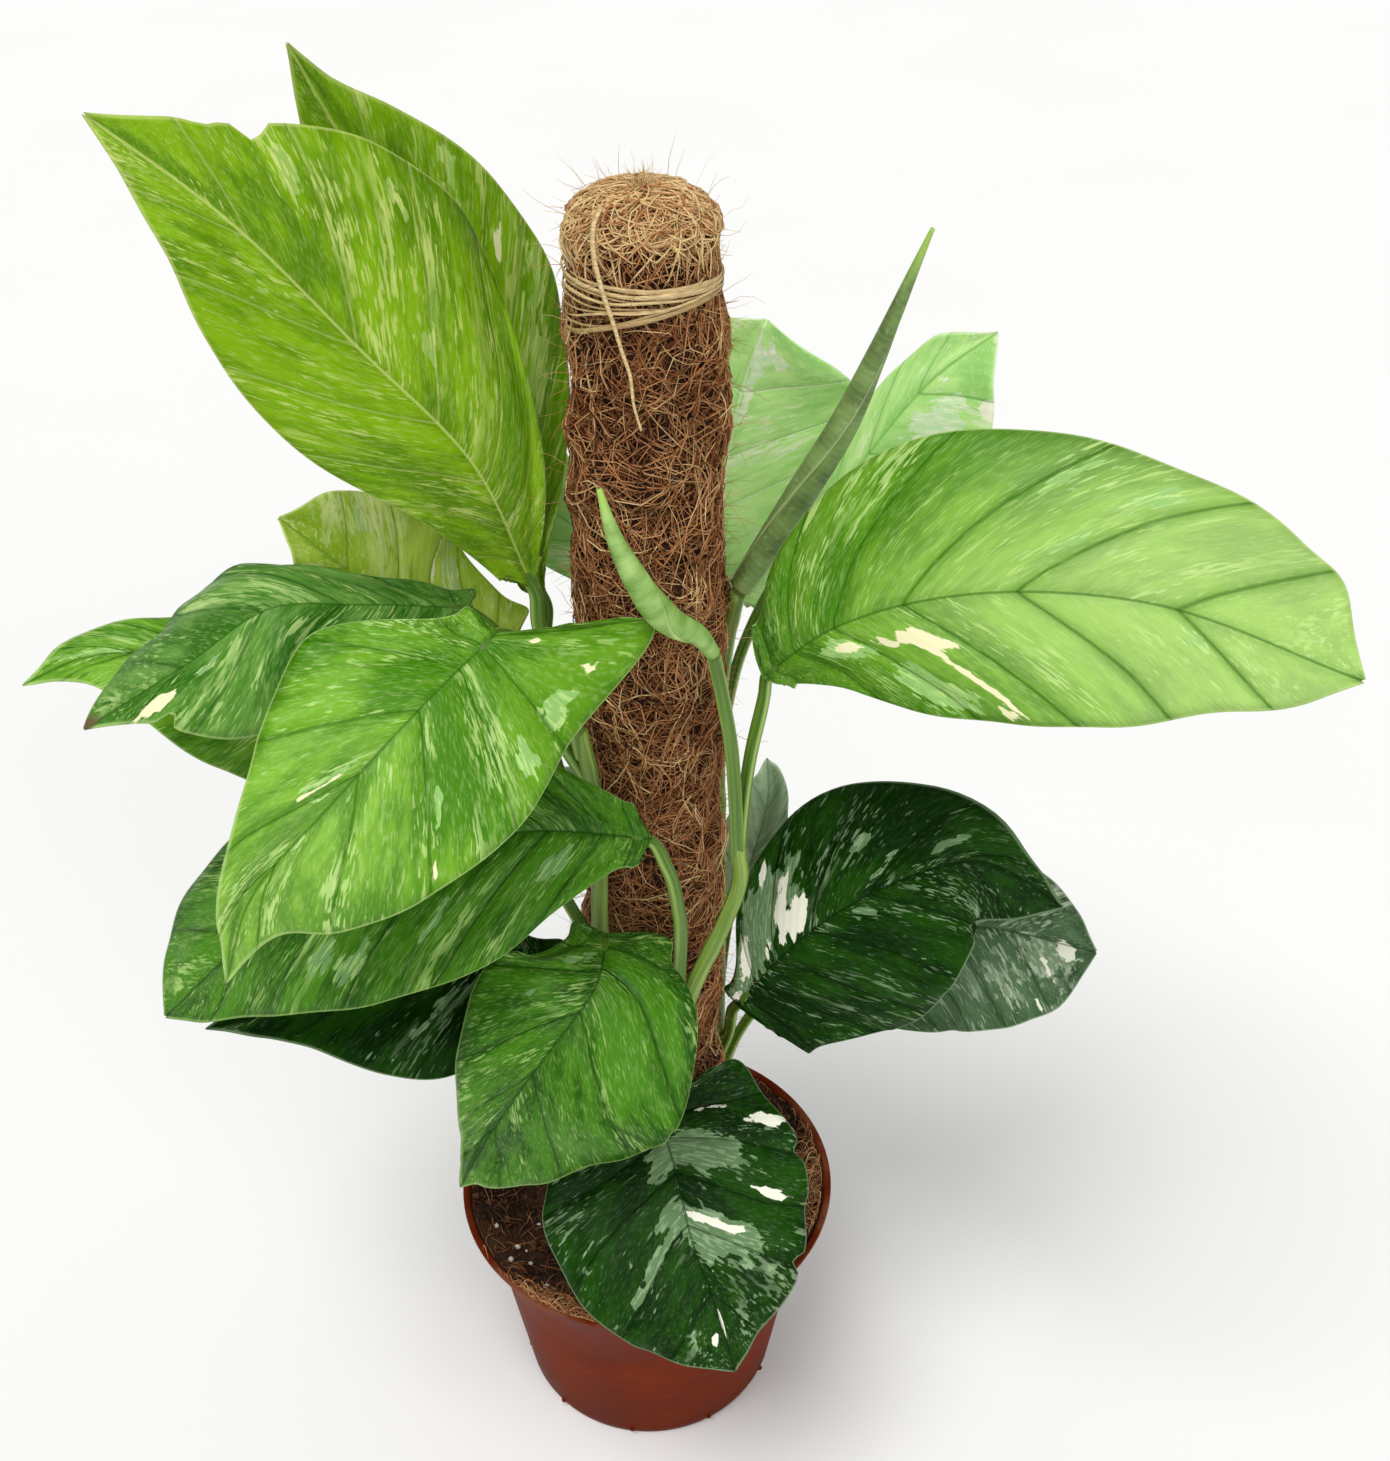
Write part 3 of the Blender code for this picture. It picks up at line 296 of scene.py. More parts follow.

# Each leaf's looks: greens, seed, main veins on a side, quilt (how deep the blade sinks along them
# in mm), how many flecks, streaks and patches it has, and glow (how far light shines through). Mist
# is its fine pale grain, and pale_veins the strength of pale lines in place of dark ones. The key for
# the dark base says how far painted shade darkens the green at the stalk, light_tip how far the
# green pales at the tip, and ior its shine.
# Pale and cream list its own patches: where in the veins' order and across, how far each way, and
# how strong. Notches in the margin are given by place, side, depth and width, and a dry tip by
# where it begins. Shape changes the outline in LEAVES, but not where the stalk ends.
LOOKS = {
    "leaf_crown_front": dict(
        greens=CROWN, seed=3, veins=9, quilt=0.6, pale_veins=0.3, flecks=1.3, streaks=1.2, glow=0.2,
        pale=[(0.80, 0.80, 0.012, 0.12, 1.2), (0.70, 0.82, 0.012, 0.10, 1.0),
              (0.67, 0.28, 0.020, 0.13, 0.9), (0.57, 0.58, 0.008, 0.07, 1.0),
              (0.80, -0.50, 0.05, 0.30, 0.45)],
        notches=[(0.815, 1, 0.10, 0.012), (0.86, 1, 0.04, 0.02)], shape=dict(lobes=(-14, -12))),
    "leaf_crown_back": dict(
        greens=CROWN, seed=11, veins=8, quilt=0.6, pale_veins=0.3,
        flecks=1.5, streaks=2.0, patches=0.1, glow=0.3,
        pale=[(0.56, 0.62, 0.05, 0.20, 1.0), (0.61, 0.90, 0.03, 0.12, 0.8), (0.75, 0.85, 0.02, 0.2, 0.8)],
        cream=[(0.67, 0.78, 0.008, 0.12, 1.2), (0.58, 0.40, 0.005, 0.2, 0.9)],
        shape=dict(lobes=(-14, -14))),
    "leaf_left_small": dict(
        greens=LIME, seed=17, veins=7, quilt=0.6, flecks=1.3, streaks=2.0, patches=0.2, glow=0.15,
        pale=[(0.80, 0.75, 0.04, 0.20, 0.7), (0.48, 0.65, 0.05, 0.3, 0.8)],
        cream=[(0.56, 0.70, 0.012, 0.25, 0.9)]),
    "leaf_left_middle": dict(
        greens=SOFT, seed=23, veins=8, quilt=1.3, flecks=1.1, streaks=1.0, glow=0.1,
        pale=[(0.80, -0.35, 0.02, 0.2, 0.8), (0.55, 0.6, 0.012, 0.2, 0.8)],
        cream=[(0.85, -0.74, 0.024, 0.20, 1.6)], notches=[(0.80, -1, 0.16, 0.012)], dry_from=0.974),
    "leaf_left_low": dict(
        greens=FRESH, seed=29, veins=8, quilt=0.6, flecks=1.1, streaks=1.0, glow=0.15,
        base_shade=0.8, pale=[(0.9, 0.3, 0.05, 0.4, 0.8)]),
    "leaf_front_left": dict(
        greens=FRESH, seed=31, veins=7, quilt=1.9, flecks=1.1, streaks=0.9, glow=0.12,
        base_shade=0.35, light_tip=0.12,
        pale=[(0.68, 0.38, 0.012, 0.26, 1.1), (0.55, -0.58, 0.007, 0.24, 1.1),
              (0.36, -0.76, 0.022, 0.15, 1.4), (0.27, -0.76, 0.024, 0.13, 1.2),
              (0.72, 0.10, 0.03, 0.30, 0.45)],
        cream=[(0.19, -0.27, 0.012, 0.07, 1.3), (0.22, -0.74, 0.010, 0.12, 1.2),
               (0.56, -0.90, 0.008, 0.07, 1.2), (0.69, 0.40, 0.005, 0.22, 1.0)],
        shape=dict(lobes=(42, 0), right=(14, 38, 29, 14, 7, 3))),
    "leaf_front_low_left": dict(
        greens=MIDDLE, seed=37, veins=8, quilt=0.6, flecks=1.1, streaks=1.0, glow=0.08,
        pale=[(0.43, -0.28, 0.022, 0.15, 1.5), (0.64, -0.74, 0.026, 0.12, 1.2),
              (0.70, -0.66, 0.02, 0.12, 1.1), (0.56, -0.50, 0.007, 0.2, 1.0)],
        shape=dict(lobes=(-8, -8))),
    "leaf_low_left": dict(
        greens=DEEP, seed=41, veins=8, quilt=0.8, mist=0.05, flecks=0.6, streaks=0.6, glow=0.04,
        ior=1.16, pale=[(0.55, -0.5, 0.02, 0.3, 0.8)]),
    "leaf_front_low": dict(
        greens=MIDDLE, seed=43, veins=7, quilt=1.2, flecks=1.15, streaks=0.9, glow=0.1,
        pale=[(0.38, 0.37, 0.022, 0.18, 1.0), (0.35, 0.20, 0.02, 0.12, 0.9),
              (0.49, 0.55, 0.008, 0.06, 1.5), (0.79, 0.37, 0.012, 0.20, 0.9), (0.16, 0.6, 0.03, 0.3, 1.1)],
        shape=dict(lobes=(6, 1), right=(14, 33, 24, 12, 6, 3))),
    "leaf_bottom_front": dict(
        greens=DEEP, seed=47, veins=7, quilt=1.4, mist=0.08,
        flecks=0.7, streaks=1.2, patches=0.1, glow=0.04,
        ior=1.2, pale=[(0.47, -0.24, 0.060, 0.30, 1.7), (0.51, 0.08, 0.05, 0.10, 1.2),
                       (0.70, -0.34, 0.045, 0.34, 1.7), (0.66, 0.15, 0.03, 0.14, 1.3),
                       (0.70, 0.50, 0.012, 0.35, 1.2), (0.75, -0.10, 0.03, 0.15, 1.0)],
        cream=[(0.68, -0.26, 0.013, 0.26, 1.7), (0.54, -0.72, 0.018, 0.14, 1.3),
               (0.36, -0.80, 0.020, 0.18, 1.2), (0.91, -0.04, 0.035, 0.06, 1.3),
               (0.92, 0.30, 0.012, 0.15, 1.1), (0.30, -0.5, 0.012, 0.2, 0.9)],
        notches=[(0.42, -1, 0.07, 0.012), (0.70, -1, 0.08, 0.012)], shape=dict(lobes=(8, 12))),
    "leaf_right_low": dict(
        greens=DEEP, seed=53, veins=8, quilt=1.0, mist=0.06, flecks=0.5, streaks=0.6, glow=0.04,
        ior=1.2, pale=[(0.44, -0.42, 0.12, 0.36, 1.7), (0.25, -0.4, 0.10, 0.40, 1.6),
                       (0.67, -0.55, 0.012, 0.25, 1.1), (0.80, -0.55, 0.012, 0.25, 1.1),
                       (0.71, 0.12, 0.010, 0.10, 1.3), (0.74, -0.3, 0.010, 0.25, 0.9)],
        cream=[(0.58, -0.18, 0.034, 0.13, 1.6), (0.36, -0.38, 0.045, 0.20, 1.5),
               (0.53, -0.36, 0.016, 0.24, 1.3), (0.46, -0.80, 0.015, 0.14, 1.1),
               (0.22, -0.25, 0.06, 0.22, 1.4), (0.48, -0.16, 0.012, 0.10, 1.2)],
        shape=dict(lobes=(-2, -4), right=(34, 49, 46, 31, 21, 12))),
    "leaf_right_low_back": dict(
        greens=SLATE, seed=59, veins=8, quilt=0.8, mist=0.12,
        flecks=1.2, streaks=2.0, patches=0.1, glow=0.06,
        pale=[(0.92, 0.3, 0.05, 0.40, 1.2), (0.80, 0.6, 0.04, 0.3, 0.7)],
        cream=[(0.955, 0.20, 0.014, 0.35, 1.5), (0.86, 0.93, 0.008, 0.2, 1.3),
               (0.91, 0.45, 0.005, 0.3, 1.2)]),
    "leaf_right_big": dict(
        greens=FRESH, seed=61, veins=8, quilt=1.7, flecks=0.9, streaks=0.7, glow=0.12,
        pale=[(0.64, -0.76, 0.014, 0.16, 1.3), (0.72, -0.80, 0.024, 0.12, 1.3),
              (0.73, -0.40, 0.007, 0.12, 1.2), (0.50, 0.70, 0.040, 0.22, 1.7),
              (0.46, 0.22, 0.05, 0.14, 1.4), (0.86, 0.38, 0.02, 0.16, 0.9)],
        cream=[(0.59, 0.31, 0.020, 0.09, 1.9), (0.54, 0.26, 0.025, 0.05, 1.4),
               (0.575, 0.62, 0.005, 0.30, 1.3), (0.47, 0.20, 0.03, 0.05, 1.2),
               (0.56, 0.93, 0.010, 0.06, 1.3)],
        base_shade=0.7, light_tip=0.5,
        shape=dict(lobes=(-10, -9), left=(17, 44, 48, 38, 29, 21))),
    "leaf_behind_pole": dict(
        greens=LIGHT, seed=67, veins=8, quilt=0.5, flecks=1.2, streaks=1.2, patches=0.05, glow=0.08,
        pale_veins=0.5, pale=[(0.94, 0.30, 0.03, 0.30, 1.0), (0.88, 0.07, 0.08, 0.06, 1.0)],
        cream=[(0.95, 0.35, 0.008, 0.25, 1.0)]),
    "leaf_back_right": dict(
        greens=LIGHT, seed=71, veins=7, quilt=0.5, flecks=1.1, streaks=1.4, patches=0.1, glow=0.08,
        base_shade=0.5, pale=[(0.80, 0.45, 0.06, 0.3, 1.1)],
        cream=[(0.84, 0.95, 0.02, 0.14, 1.7), (0.90, 0.2, 0.006, 0.3, 1.0), (0.70, 0.97, 0.10, 0.03, 1.3)]),
    "leaf_back_left": dict(
        greens=LIGHT, seed=73, veins=7, quilt=0.5, flecks=1.0, streaks=1.0, patches=0.05, glow=0.15),
    "leaf_back_small": dict(
        greens=ASHEN, seed=79, veins=6, quilt=0.4, flecks=0.6, streaks=0.8, glow=0.1),
    "leaf_back_low": dict(
        greens=MIDDLE, seed=83, veins=8, quilt=0.6, flecks=1.0, streaks=0.9, patches=0.05, glow=0.15,
        pale=[(0.5, 0.4, 0.02, 0.2, 1.0)]),
}


# Shapes

def unit(v):
    v = np.asarray(v, float)
    return v / np.maximum(np.linalg.norm(v, axis=-1, keepdims=True), 1e-12)


def smooth(knots, values, at):
    """Cubic curve through the values at the knots."""
    knots = np.asarray(knots, float)
    values = np.asarray(values, float)
    slope = np.gradient(values, knots)
    i = np.clip(np.searchsorted(knots, at, side="right") - 1, 0, len(knots) - 2)
    h = knots[i + 1] - knots[i]
    t = (at - knots[i]) / h
    return ((2 * t**3 - 3 * t**2 + 1) * values[i] + (t**3 - 2 * t**2 + t) * h * slope[i]
            + (3 * t**2 - 2 * t**3) * values[i + 1] + (t**3 - t**2) * h * slope[i + 1])


def path_points(points, count):
    """Evenly spread points on a smooth curve through the points, in metres."""
    points = np.array(points, float) * MM
    chord = np.concatenate([[0], np.cumsum(np.linalg.norm(np.diff(points, axis=0), axis=1))])
    at = np.linspace(0, chord[-1], count)
    return np.stack([smooth(chord, points[:, k], at) for k in range(3)], -1)


def bell(x, width):
    return np.exp(-(np.asarray(x) / width) ** 2)


class Blade:
    """The curved upper surface of a leaf, as a function of its lateral veins."""

    def __init__(self, rib, face, left, right, lobes=(0, 0), fold=(8, 8), droop=(20, 20), wave=0.0,
                 seat=1.2):
        self.face = unit(face)
        self.left = np.array(left) * MM
        self.right = np.array(right) * MM
        self.lobes = np.array(lobes) * MM
        self.fold = np.radians(fold)
        self.droop = np.radians(droop)
        self.wave = wave * MM
        self.seat = seat * MM
        self.rib = path_points(rib, 101)
        steps = np.linalg.norm(np.diff(self.rib, axis=0), axis=1)
        self.along = np.concatenate([[0], np.cumsum(steps)])
        self.length = self.along[-1]
        self.tangent = unit(np.gradient(self.rib, axis=0))

    def frame(self, x):
        """Position, tangent, upward normal and right-hand direction at a length along the midrib."""
        inside = np.clip(x, 0, self.length)
        place = np.stack([np.interp(inside, self.along, self.rib[:, k]) for k in range(3)], -1)
        tangent = unit(np.stack([np.interp(inside, self.along, self.tangent[:, k]) for k in range(3)], -1))
        place = place + tangent * (x - inside)[..., None]
        normal = unit(self.face - (self.face * tangent).sum(-1, keepdims=True) * tangent)
        return place, tangent, normal, np.cross(tangent, normal)

    def outline(self, widths, lobe, s):
        """Length along the midrib and half-width of one margin."""
        along = np.where(OUTLINE_ALONG < 0, OUTLINE_ALONG * lobe, OUTLINE_ALONG * self.length)
        across = [0, 0.36 * widths[0], 0.84 * widths[0], *widths, 0.45 * widths[-1], 0]
        return smooth(OUTLINE_KNOTS, along, s), np.maximum(0, smooth(OUTLINE_KNOTS, across, s))

    def half(self, s, v):
        """Half-width on the side that v lies on."""
        left = self.outline(self.left, self.lobes[0], s)[1]
        right = self.outline(self.right, self.lobes[1], s)[1]
        return np.where(v < 0, left, right)

    def top(self, s, v):
        """The upper surface: s runs from stalk to tip, v from the left margin to the right margin."""
        s, v = np.broadcast_arrays(np.asarray(s, float), np.asarray(v, float))
        reach = np.abs(v)
        is_left = v < 0
        left_along, left_half = self.outline(self.left, self.lobes[0], s)
        right_along, right_half = self.outline(self.right, self.lobes[1], s)
        margin = np.where(is_left, left_along, right_along)
        half = np.where(is_left, left_half, right_half)
        share = half / np.where(is_left, self.left.max(), self.right.max())
        start = s**VEIN_SPREAD * self.length
        place, _, normal, right = self.frame(start + (margin - start) * reach**VEIN_SWEEP)
        fold = np.where(is_left, self.fold[0], self.fold[1])
        droop = np.where(is_left, self.droop[0], self.droop[1])
        angle = fold * (0.7 + 0.5 * s) - droop * share * reach / 2
        out = reach * half
        shift = np.where(is_left, 0.0, RIGHT_WAVE_SHIFT)
        wave = self.wave * np.sin(2 * pi * MARGIN_WAVES * s + shift) * reach**2
        lift = out * np.sin(angle) + wave * np.minimum(1, 1.5 * share)
        return place + right * (np.sign(v) * out * np.cos(angle))[..., None] + normal * lift[..., None]


def add_mesh(name, vertices, quads=(), triangles=(), **attributes):
    """A smooth mesh object from arrays, with one value or one vector a vertex for each attribute."""
    vertices = np.asarray(vertices, np.float32).reshape(-1, 3)
    quads = np.asarray(quads, np.int32).reshape(-1, 4)
    triangles = np.asarray(triangles, np.int32).reshape(-1, 3)
    corners = np.concatenate([quads.ravel(), triangles.ravel()])
    sizes = np.concatenate([np.full(len(quads), 4), np.full(len(triangles), 3)])
    starts = np.concatenate([[0], np.cumsum(sizes)[:-1]]).astype(np.int32)
    mesh = bpy.data.meshes.new(name)
    mesh.vertices.add(len(vertices))
    mesh.vertices.foreach_set("co", vertices.ravel())
    mesh.loops.add(len(corners))
    mesh.loops.foreach_set("vertex_index", corners)
    mesh.polygons.add(len(sizes))
    mesh.polygons.foreach_set("loop_start", starts)
    mesh.update(calc_edges=True)
    mesh.validate()
    for key, values in attributes.items():
        values = np.asarray(values, np.float32)
        is_vector = values.ndim == 2
        layer = mesh.attributes.new(key, "FLOAT_VECTOR" if is_vector else "FLOAT", "POINT")
        layer.data.foreach_set("vector" if is_vector else "value", values.ravel())
    mesh.shade_smooth()
    obj = bpy.data.objects.new(name, mesh)
    bpy.context.scene.collection.objects.link(obj)
    return obj


def grid_faces(rows, columns, closed=False):
    """Quads between rows of vertices, each row as long as columns, joined round where closed."""
    i = np.arange(rows - 1)[:, None]
    j = np.arange(columns if closed else columns - 1)[None, :]
    n = (j + 1) % columns
    a, b = i * columns + j, i * columns + n
    return np.stack([a, b, b + columns, a + columns], -1).reshape(-1, 4)


def tubes(paths, radii, up, sides, flat=1.0, shape=None):
    """Closed tubes along many paths at once: vertices, quads and the faces of their ends.

    The paths are an array of tubes, points and coordinates. Up is the direction that each section's
    first corner faces, flat is the section's height beside its width, and shape scales the radius
    round the section.
    """
    paths = np.asarray(paths, float)
    many, count, _ = paths.shape
    radii = np.broadcast_to(radii, (many, count))
    up = np.broadcast_to(up, paths.shape)
    tangent = unit(np.gradient(paths, axis=1))
    up = unit(up - (up * tangent).sum(-1, keepdims=True) * tangent)
    side = np.cross(tangent, up)
    turn = 2 * pi * np.arange(sides) / sides
    scale = np.ones(sides) if shape is None else np.asarray(shape)
    height = (np.cos(turn) * scale * flat)[None, None, :, None]
    width = (np.sin(turn) * scale)[None, None, :, None]
    around = up[:, :, None] * height + side[:, :, None] * width
    vertices = paths[:, :, None] + around * radii[:, :, None, None]
    one = grid_faces(count, sides, closed=True)
    base = (np.arange(many) * count * sides)[:, None, None]
    quads = (one[None] + base).reshape(-1, 4)
    fan = np.array([(0, k, k + 1) for k in range(1, sides - 1)])
    last = (count - 1) * sides
    ends = np.concatenate([fan[:, ::-1], fan + last])
    triangles = (ends[None] + base).reshape(-1, 3)
    return vertices.reshape(-1, 3), quads[:, ::-1], triangles[:, ::-1]


def repeat_for_tube(values, count, sides):
    """One value a tube, spread to the tube's vertices."""
    return np.repeat(np.asarray(values), count * sides)


def dress(obj, material, *nodes, slot=None):
    """Gives a finished piece its material, says what it rides on, and hides the CAD parts that it stands for.
    """
    obj.data.materials.clear()
    obj.data.materials.append(material)
    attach(obj, "root")
    if nodes:
        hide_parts(*nodes)
    return obj


# Materials

def hex_colour(text):
    """Linear colour of a #rrggbb screen colour."""
    shares = [int(text[i:i + 2], 16) / 255 for i in (1, 3, 5)]
    return tuple(c / 12.92 if c <= 0.04045 else ((c + 0.055) / 1.055) ** 2.4 for c in shares) + (1.0,)


class Nodes:
    """A material's node tree, with short ways to add to it. Inputs are numbers or sockets."""

    def __init__(self, name, roughness=0.5, specular=0.5, ior=1.5):
        self.material = bpy.data.materials.new(name)
        self.material.use_nodes = True
        self.tree = self.material.node_tree
        self.shader = self.tree.nodes["Principled BSDF"]
        self.output = self.tree.nodes["Material Output"]
        self.shader.inputs["Roughness"].default_value = roughness
        self.shader.inputs["Specular IOR Level"].default_value = specular
        self.shader.inputs["IOR"].default_value = ior

    def put(self, socket, value):
        if isinstance(value, bpy.types.NodeSocket):
            self.tree.links.new(value, socket)
        elif value is not None:
            socket.default_value = value

    def add(self, kind, **settings):
        node = self.tree.nodes.new("ShaderNode" + kind)
        for key, value in settings.items():
            setattr(node, key, value)
        return node

    def attribute(self, name, output="Vector"):
        return self.add("Attribute", attribute_name=name).outputs[output]

    def split(self, vector):
        node = self.add("SeparateXYZ")
        self.put(node.inputs[0], vector)
        return node.outputs

    def join(self, x, y, z):
        node = self.add("CombineXYZ")
        for socket, value in zip(node.inputs, (x, y, z)):
            self.put(socket, value)
        return node.outputs[0]

    def math(self, operation, a, b=None, clamp=False):
        node = self.add("Math", operation=operation, use_clamp=clamp)
        self.put(node.inputs[0], a)
        self.put(node.inputs[1], b)
        return node.outputs[0]

    def total(self, *values):
        result = values[0]
        for value in values[1:]:
            result = self.math("ADD", result, value)
        return result

    def times(self, a, b):
        return self.math("MULTIPLY", a, b)

    def noise(self, vector, scale=1.0, detail=2.0, roughness=0.5):
        node = self.add("TexNoise")
        self.put(node.inputs["Vector"], vector)
        self.put(node.inputs["Scale"], scale)
        self.put(node.inputs["Detail"], detail)
        self.put(node.inputs["Roughness"], roughness)
        return node.outputs["Fac"]

    def ramp(self, value, low, high, to_low=0.0, to_high=1.0):
        node = self.add("MapRange", interpolation_type="SMOOTHSTEP")
        for socket, given in zip(node.inputs, (value, low, high, to_low, to_high)):
            self.put(socket, given)
        return node.outputs[0]

    def mix(self, factor, a, b):
        node = self.add("Mix", data_type="RGBA")
        self.put(node.inputs["Factor"], factor)
        self.put(node.inputs[6], hex_colour(a) if isinstance(a, str) else a)
        self.put(node.inputs[7], hex_colour(b) if isinstance(b, str) else b)
        return node.outputs[2]

    def colour(self, value):
        self.put(self.shader.inputs["Base Color"], value)

    def bump(self, height, distance, strength=1.0):
        node = self.add("Bump")
        node.inputs["Strength"].default_value = strength
        node.inputs["Distance"].default_value = distance
        self.put(node.inputs["Height"], height)
        self.put(self.shader.inputs["Normal"], node.outputs[0])

    def shine_through(self, colour, share):
        """Light from behind passes, as in a thin leaf."""
        thin = self.add("BsdfTranslucent")
        both = self.add("MixShader")
        self.put(thin.inputs["Color"], colour)
        both.inputs[0].default_value = share
        self.put(both.inputs[1], self.shader.outputs[0])
        self.put(both.inputs[2], thin.outputs[0])
        self.put(self.output.inputs["Surface"], both.outputs[0])


def leaf_material(name, look, reach):
    """Speckled leaf. Flecks, streaks and patches follow the lateral veins, each half in its own way."""
    shade, body, pale, grey, cream, deep = look["greens"]
    n = Nodes(name, roughness=0.4, specular=0.3, ior=look.get("ior", 1.28))
    s, v, seed = n.split(n.attribute("blade"))
    order, across, edge = n.split(n.attribute("sizes"))
    own_pale, own_cream, dryness = n.split(n.attribute("patches"))
    layer = n.math("ADD", seed, n.times(n.math("SIGN", v), 3.7))
    out = n.times(n.math("ABSOLUTE", v), reach)

    def grain(wide, long, detail, offset):
        """Noise drawn out along the veins, wide and long in millimetres."""
        x = n.math("DIVIDE", order, wide)
        y = n.math("DIVIDE", out, long)
        return n.noise(n.join(x, y, n.math("ADD", layer, offset)), detail=detail)

    broad = grain(24, 34, 1.0, 0)
    sector = grain(9, 60, 1.0, 20)
    cloud = grain(3.2, 12, 3.0, 30)
    fine = grain(0.75, 5.0, 2.0, 40)
    mist = grain(0.5, 2.6, 2.0, 50)
    faint = grain(6, 20, 1.0, 70)
    medium = grain(2.3, 17, 2.5, 60)
    ragged = grain(2.6, 6.5, 6.0, 80)

    main = n.times(s, look["veins"])
    from_vein = n.math("ABSOLUTE", n.math("SUBTRACT", n.math("FRACT", n.math("ADD", main, 0.5)), 0.5))
    near_vein = n.ramp(from_vein, 0.0, 0.14, 1.0, 0.0)
    vein = n.ramp(from_vein, 0.0, 0.035, 1.0, 0.0)
    small_veins = n.math("SINE", n.times(main, 2 * pi * 6))
    from_rib = n.math("ABSOLUTE", across)
    rib = n.ramp(from_rib, 0.2, 0.55, 1.0, 0.0)
    near_rib = n.ramp(from_rib, 0.5, 4.0, 1.0, 0.0)
    margin = n.ramp(edge, 0.15, 0.5, 1.0, 0.0)

    mottle = n.total(n.times(broad, 0.55), n.times(cloud, 0.45))
    green = n.mix(n.ramp(mottle, 0.38, 0.62), shade, body)
    # Painted shade: the green darkens towards the stalk.
    if "base_shade" in look:
        green = n.mix(n.ramp(s, 0.25, 0.66, look["base_shade"], 0.0), green, deep)
    if "light_tip" in look:
        green = n.mix(n.ramp(s, 0.45, 0.85, 0.0, look["light_tip"]), green, pale)
    # Painted shade: the green darkens in the grooves along the lateral veins.
    green = n.mix(n.times(near_vein, 0.45), green, shade)
    green = n.mix(n.times(near_rib, 0.2), green, shade)
    green = n.mix(n.ramp(mist, 0.45, 0.75, 0.0, look.get("mist", 0.22)), green, pale)
    swing = n.times(n.math("SUBTRACT", sector, 0.5), 0.55)
    fleck_level = n.total(fine, swing, 0.05 * (look["flecks"] - 1))
    strength = n.ramp(faint, 0.35, 0.65, 0.15, 0.62)
    green = n.mix(n.times(n.ramp(fleck_level, 0.60, 0.68), strength), green, pale)
    streak_level = n.total(medium, swing, 0.05 * (look["streaks"] - 1))
    green = n.mix(n.times(n.ramp(streak_level, 0.675, 0.71), strength), green, pale)
    tatter = n.times(n.math("SUBTRACT", ragged, 0.5), 2.6)
    patch = n.ramp(n.total(own_pale, tatter, look.get("patches", 0.0)), 0.60, 0.68)
    tone = n.mix(n.ramp(fine, 0.50, 0.60, 0.0, 0.8), grey, pale)
    green = n.mix(n.times(patch, 0.88), green, tone)
    green = n.mix(n.ramp(n.total(own_cream, n.times(tatter, 0.8)), 0.58, 0.70), green, cream)
    if "pale_veins" in look:
        green = n.mix(n.times(vein, look["pale_veins"]), green, pale)
        green = n.mix(n.times(rib, 0.55), green, pale)
    else:
        green = n.mix(n.times(vein, 0.6), green, deep)
        green = n.mix(n.times(rib, 0.6), green, deep)
    green = n.mix(n.times(margin, 0.5), green, pale)
    green = n.mix(n.times(dryness, 0.9), green, "#6e5a42")
    n.colour(green)
    gloss = n.noise(n.join(n.times(order, 0.12), n.times(out, 0.12), layer), 1.0, 3.0)
    n.put(n.shader.inputs["Roughness"], n.ramp(gloss, 0.3, 0.7, 0.30, 0.46))
    height = n.total(n.times(vein, -0.8), n.times(near_vein, -0.9),
                     n.times(small_veins, 0.12), n.times(mist, 0.4))
    n.bump(height, 0.0004, 0.6)
    n.shine_through(n.mix(0.5, green, "#b9dc2a"), look["glow"])
    return n.material


def stalk_material():
    n = Nodes("stalk_green", roughness=0.4)
    along, round_share, tint = n.split(n.attribute("stalk"))
    place = n.join(n.times(along, 0.03), n.times(round_share, 9), tint)
    stripes = n.noise(place, 1.0, 3.0)
    groove = n.ramp(n.math("ABSOLUTE", round_share), 0.10, 0.16, 1.0, 0.0)
    edge = n.times(n.ramp(n.math("ABSOLUTE", round_share), 0.12, 0.18),
                   n.ramp(n.math("ABSOLUTE", round_share), 0.20, 0.27, 1.0, 0.0))
    green = n.mix(n.ramp(stripes, 0.35, 0.65), "#4c7618", "#7fa63a")
    # Painted shade in the groove along the stalk's upper side.
    green = n.mix(n.times(groove, 0.6), green, "#3f6216")
    green = n.mix(n.times(edge, 0.75), green, "#a9c06a")
    green = n.mix(n.ramp(tint, 0.5, 1.0), green, n.mix(n.ramp(stripes, 0.4, 0.6), "#5f8028", "#8ea84c"))
    n.colour(green)
    n.bump(n.noise(n.join(n.times(along, 0.05), n.times(round_share, 16), tint), 1.0, 4.0), 0.0004, 0.5)
    return n.material


def spear_material(hue):
    """A rolled leaf: fine veins cross it at a slant and a pale edge winds round it."""
    n = Nodes("rolled_leaf", roughness=0.45, specular=0.35)
    along, round_share, _ = n.split(n.attribute("stalk"))
    wander = n.noise(n.join(n.times(along, 0.12), n.times(round_share, 2), hue), 1.0, 2.0)
    slant = n.total(n.times(along, 3.4), n.times(round_share, 9.0), n.times(wander, 3.0))
    ribs = n.math("SINE", slant)
    flecks = n.noise(n.join(n.times(along, 0.5), n.times(round_share, 8), hue), 1.0, 3.0)
    tones = [("#566f36", "#7d9a54"), ("#76a046", "#a5c673")][int(hue)]
    green = n.mix(n.ramp(wander, 0.3, 0.7), *tones)
    green = n.mix(n.ramp(ribs, 0.2, 1.0, 0.0, 0.06), green, "#c9dca0")
    green = n.mix(n.ramp(flecks, 0.56, 0.72, 0.0, 0.25), green, "#bcd292")
    green = n.mix(n.ramp(along, 92.0, 108.0, 0.0, 0.8), green, "#a9cf5c")
    green = n.mix(n.ramp(round_share, 0.44, 0.5, 0.0, 0.75), green, "#dfe8ae")
    n.colour(green)
    n.bump(n.total(n.times(ribs, 0.18), n.times(flecks, 0.6)), 0.00025, 0.3)
    return n.material


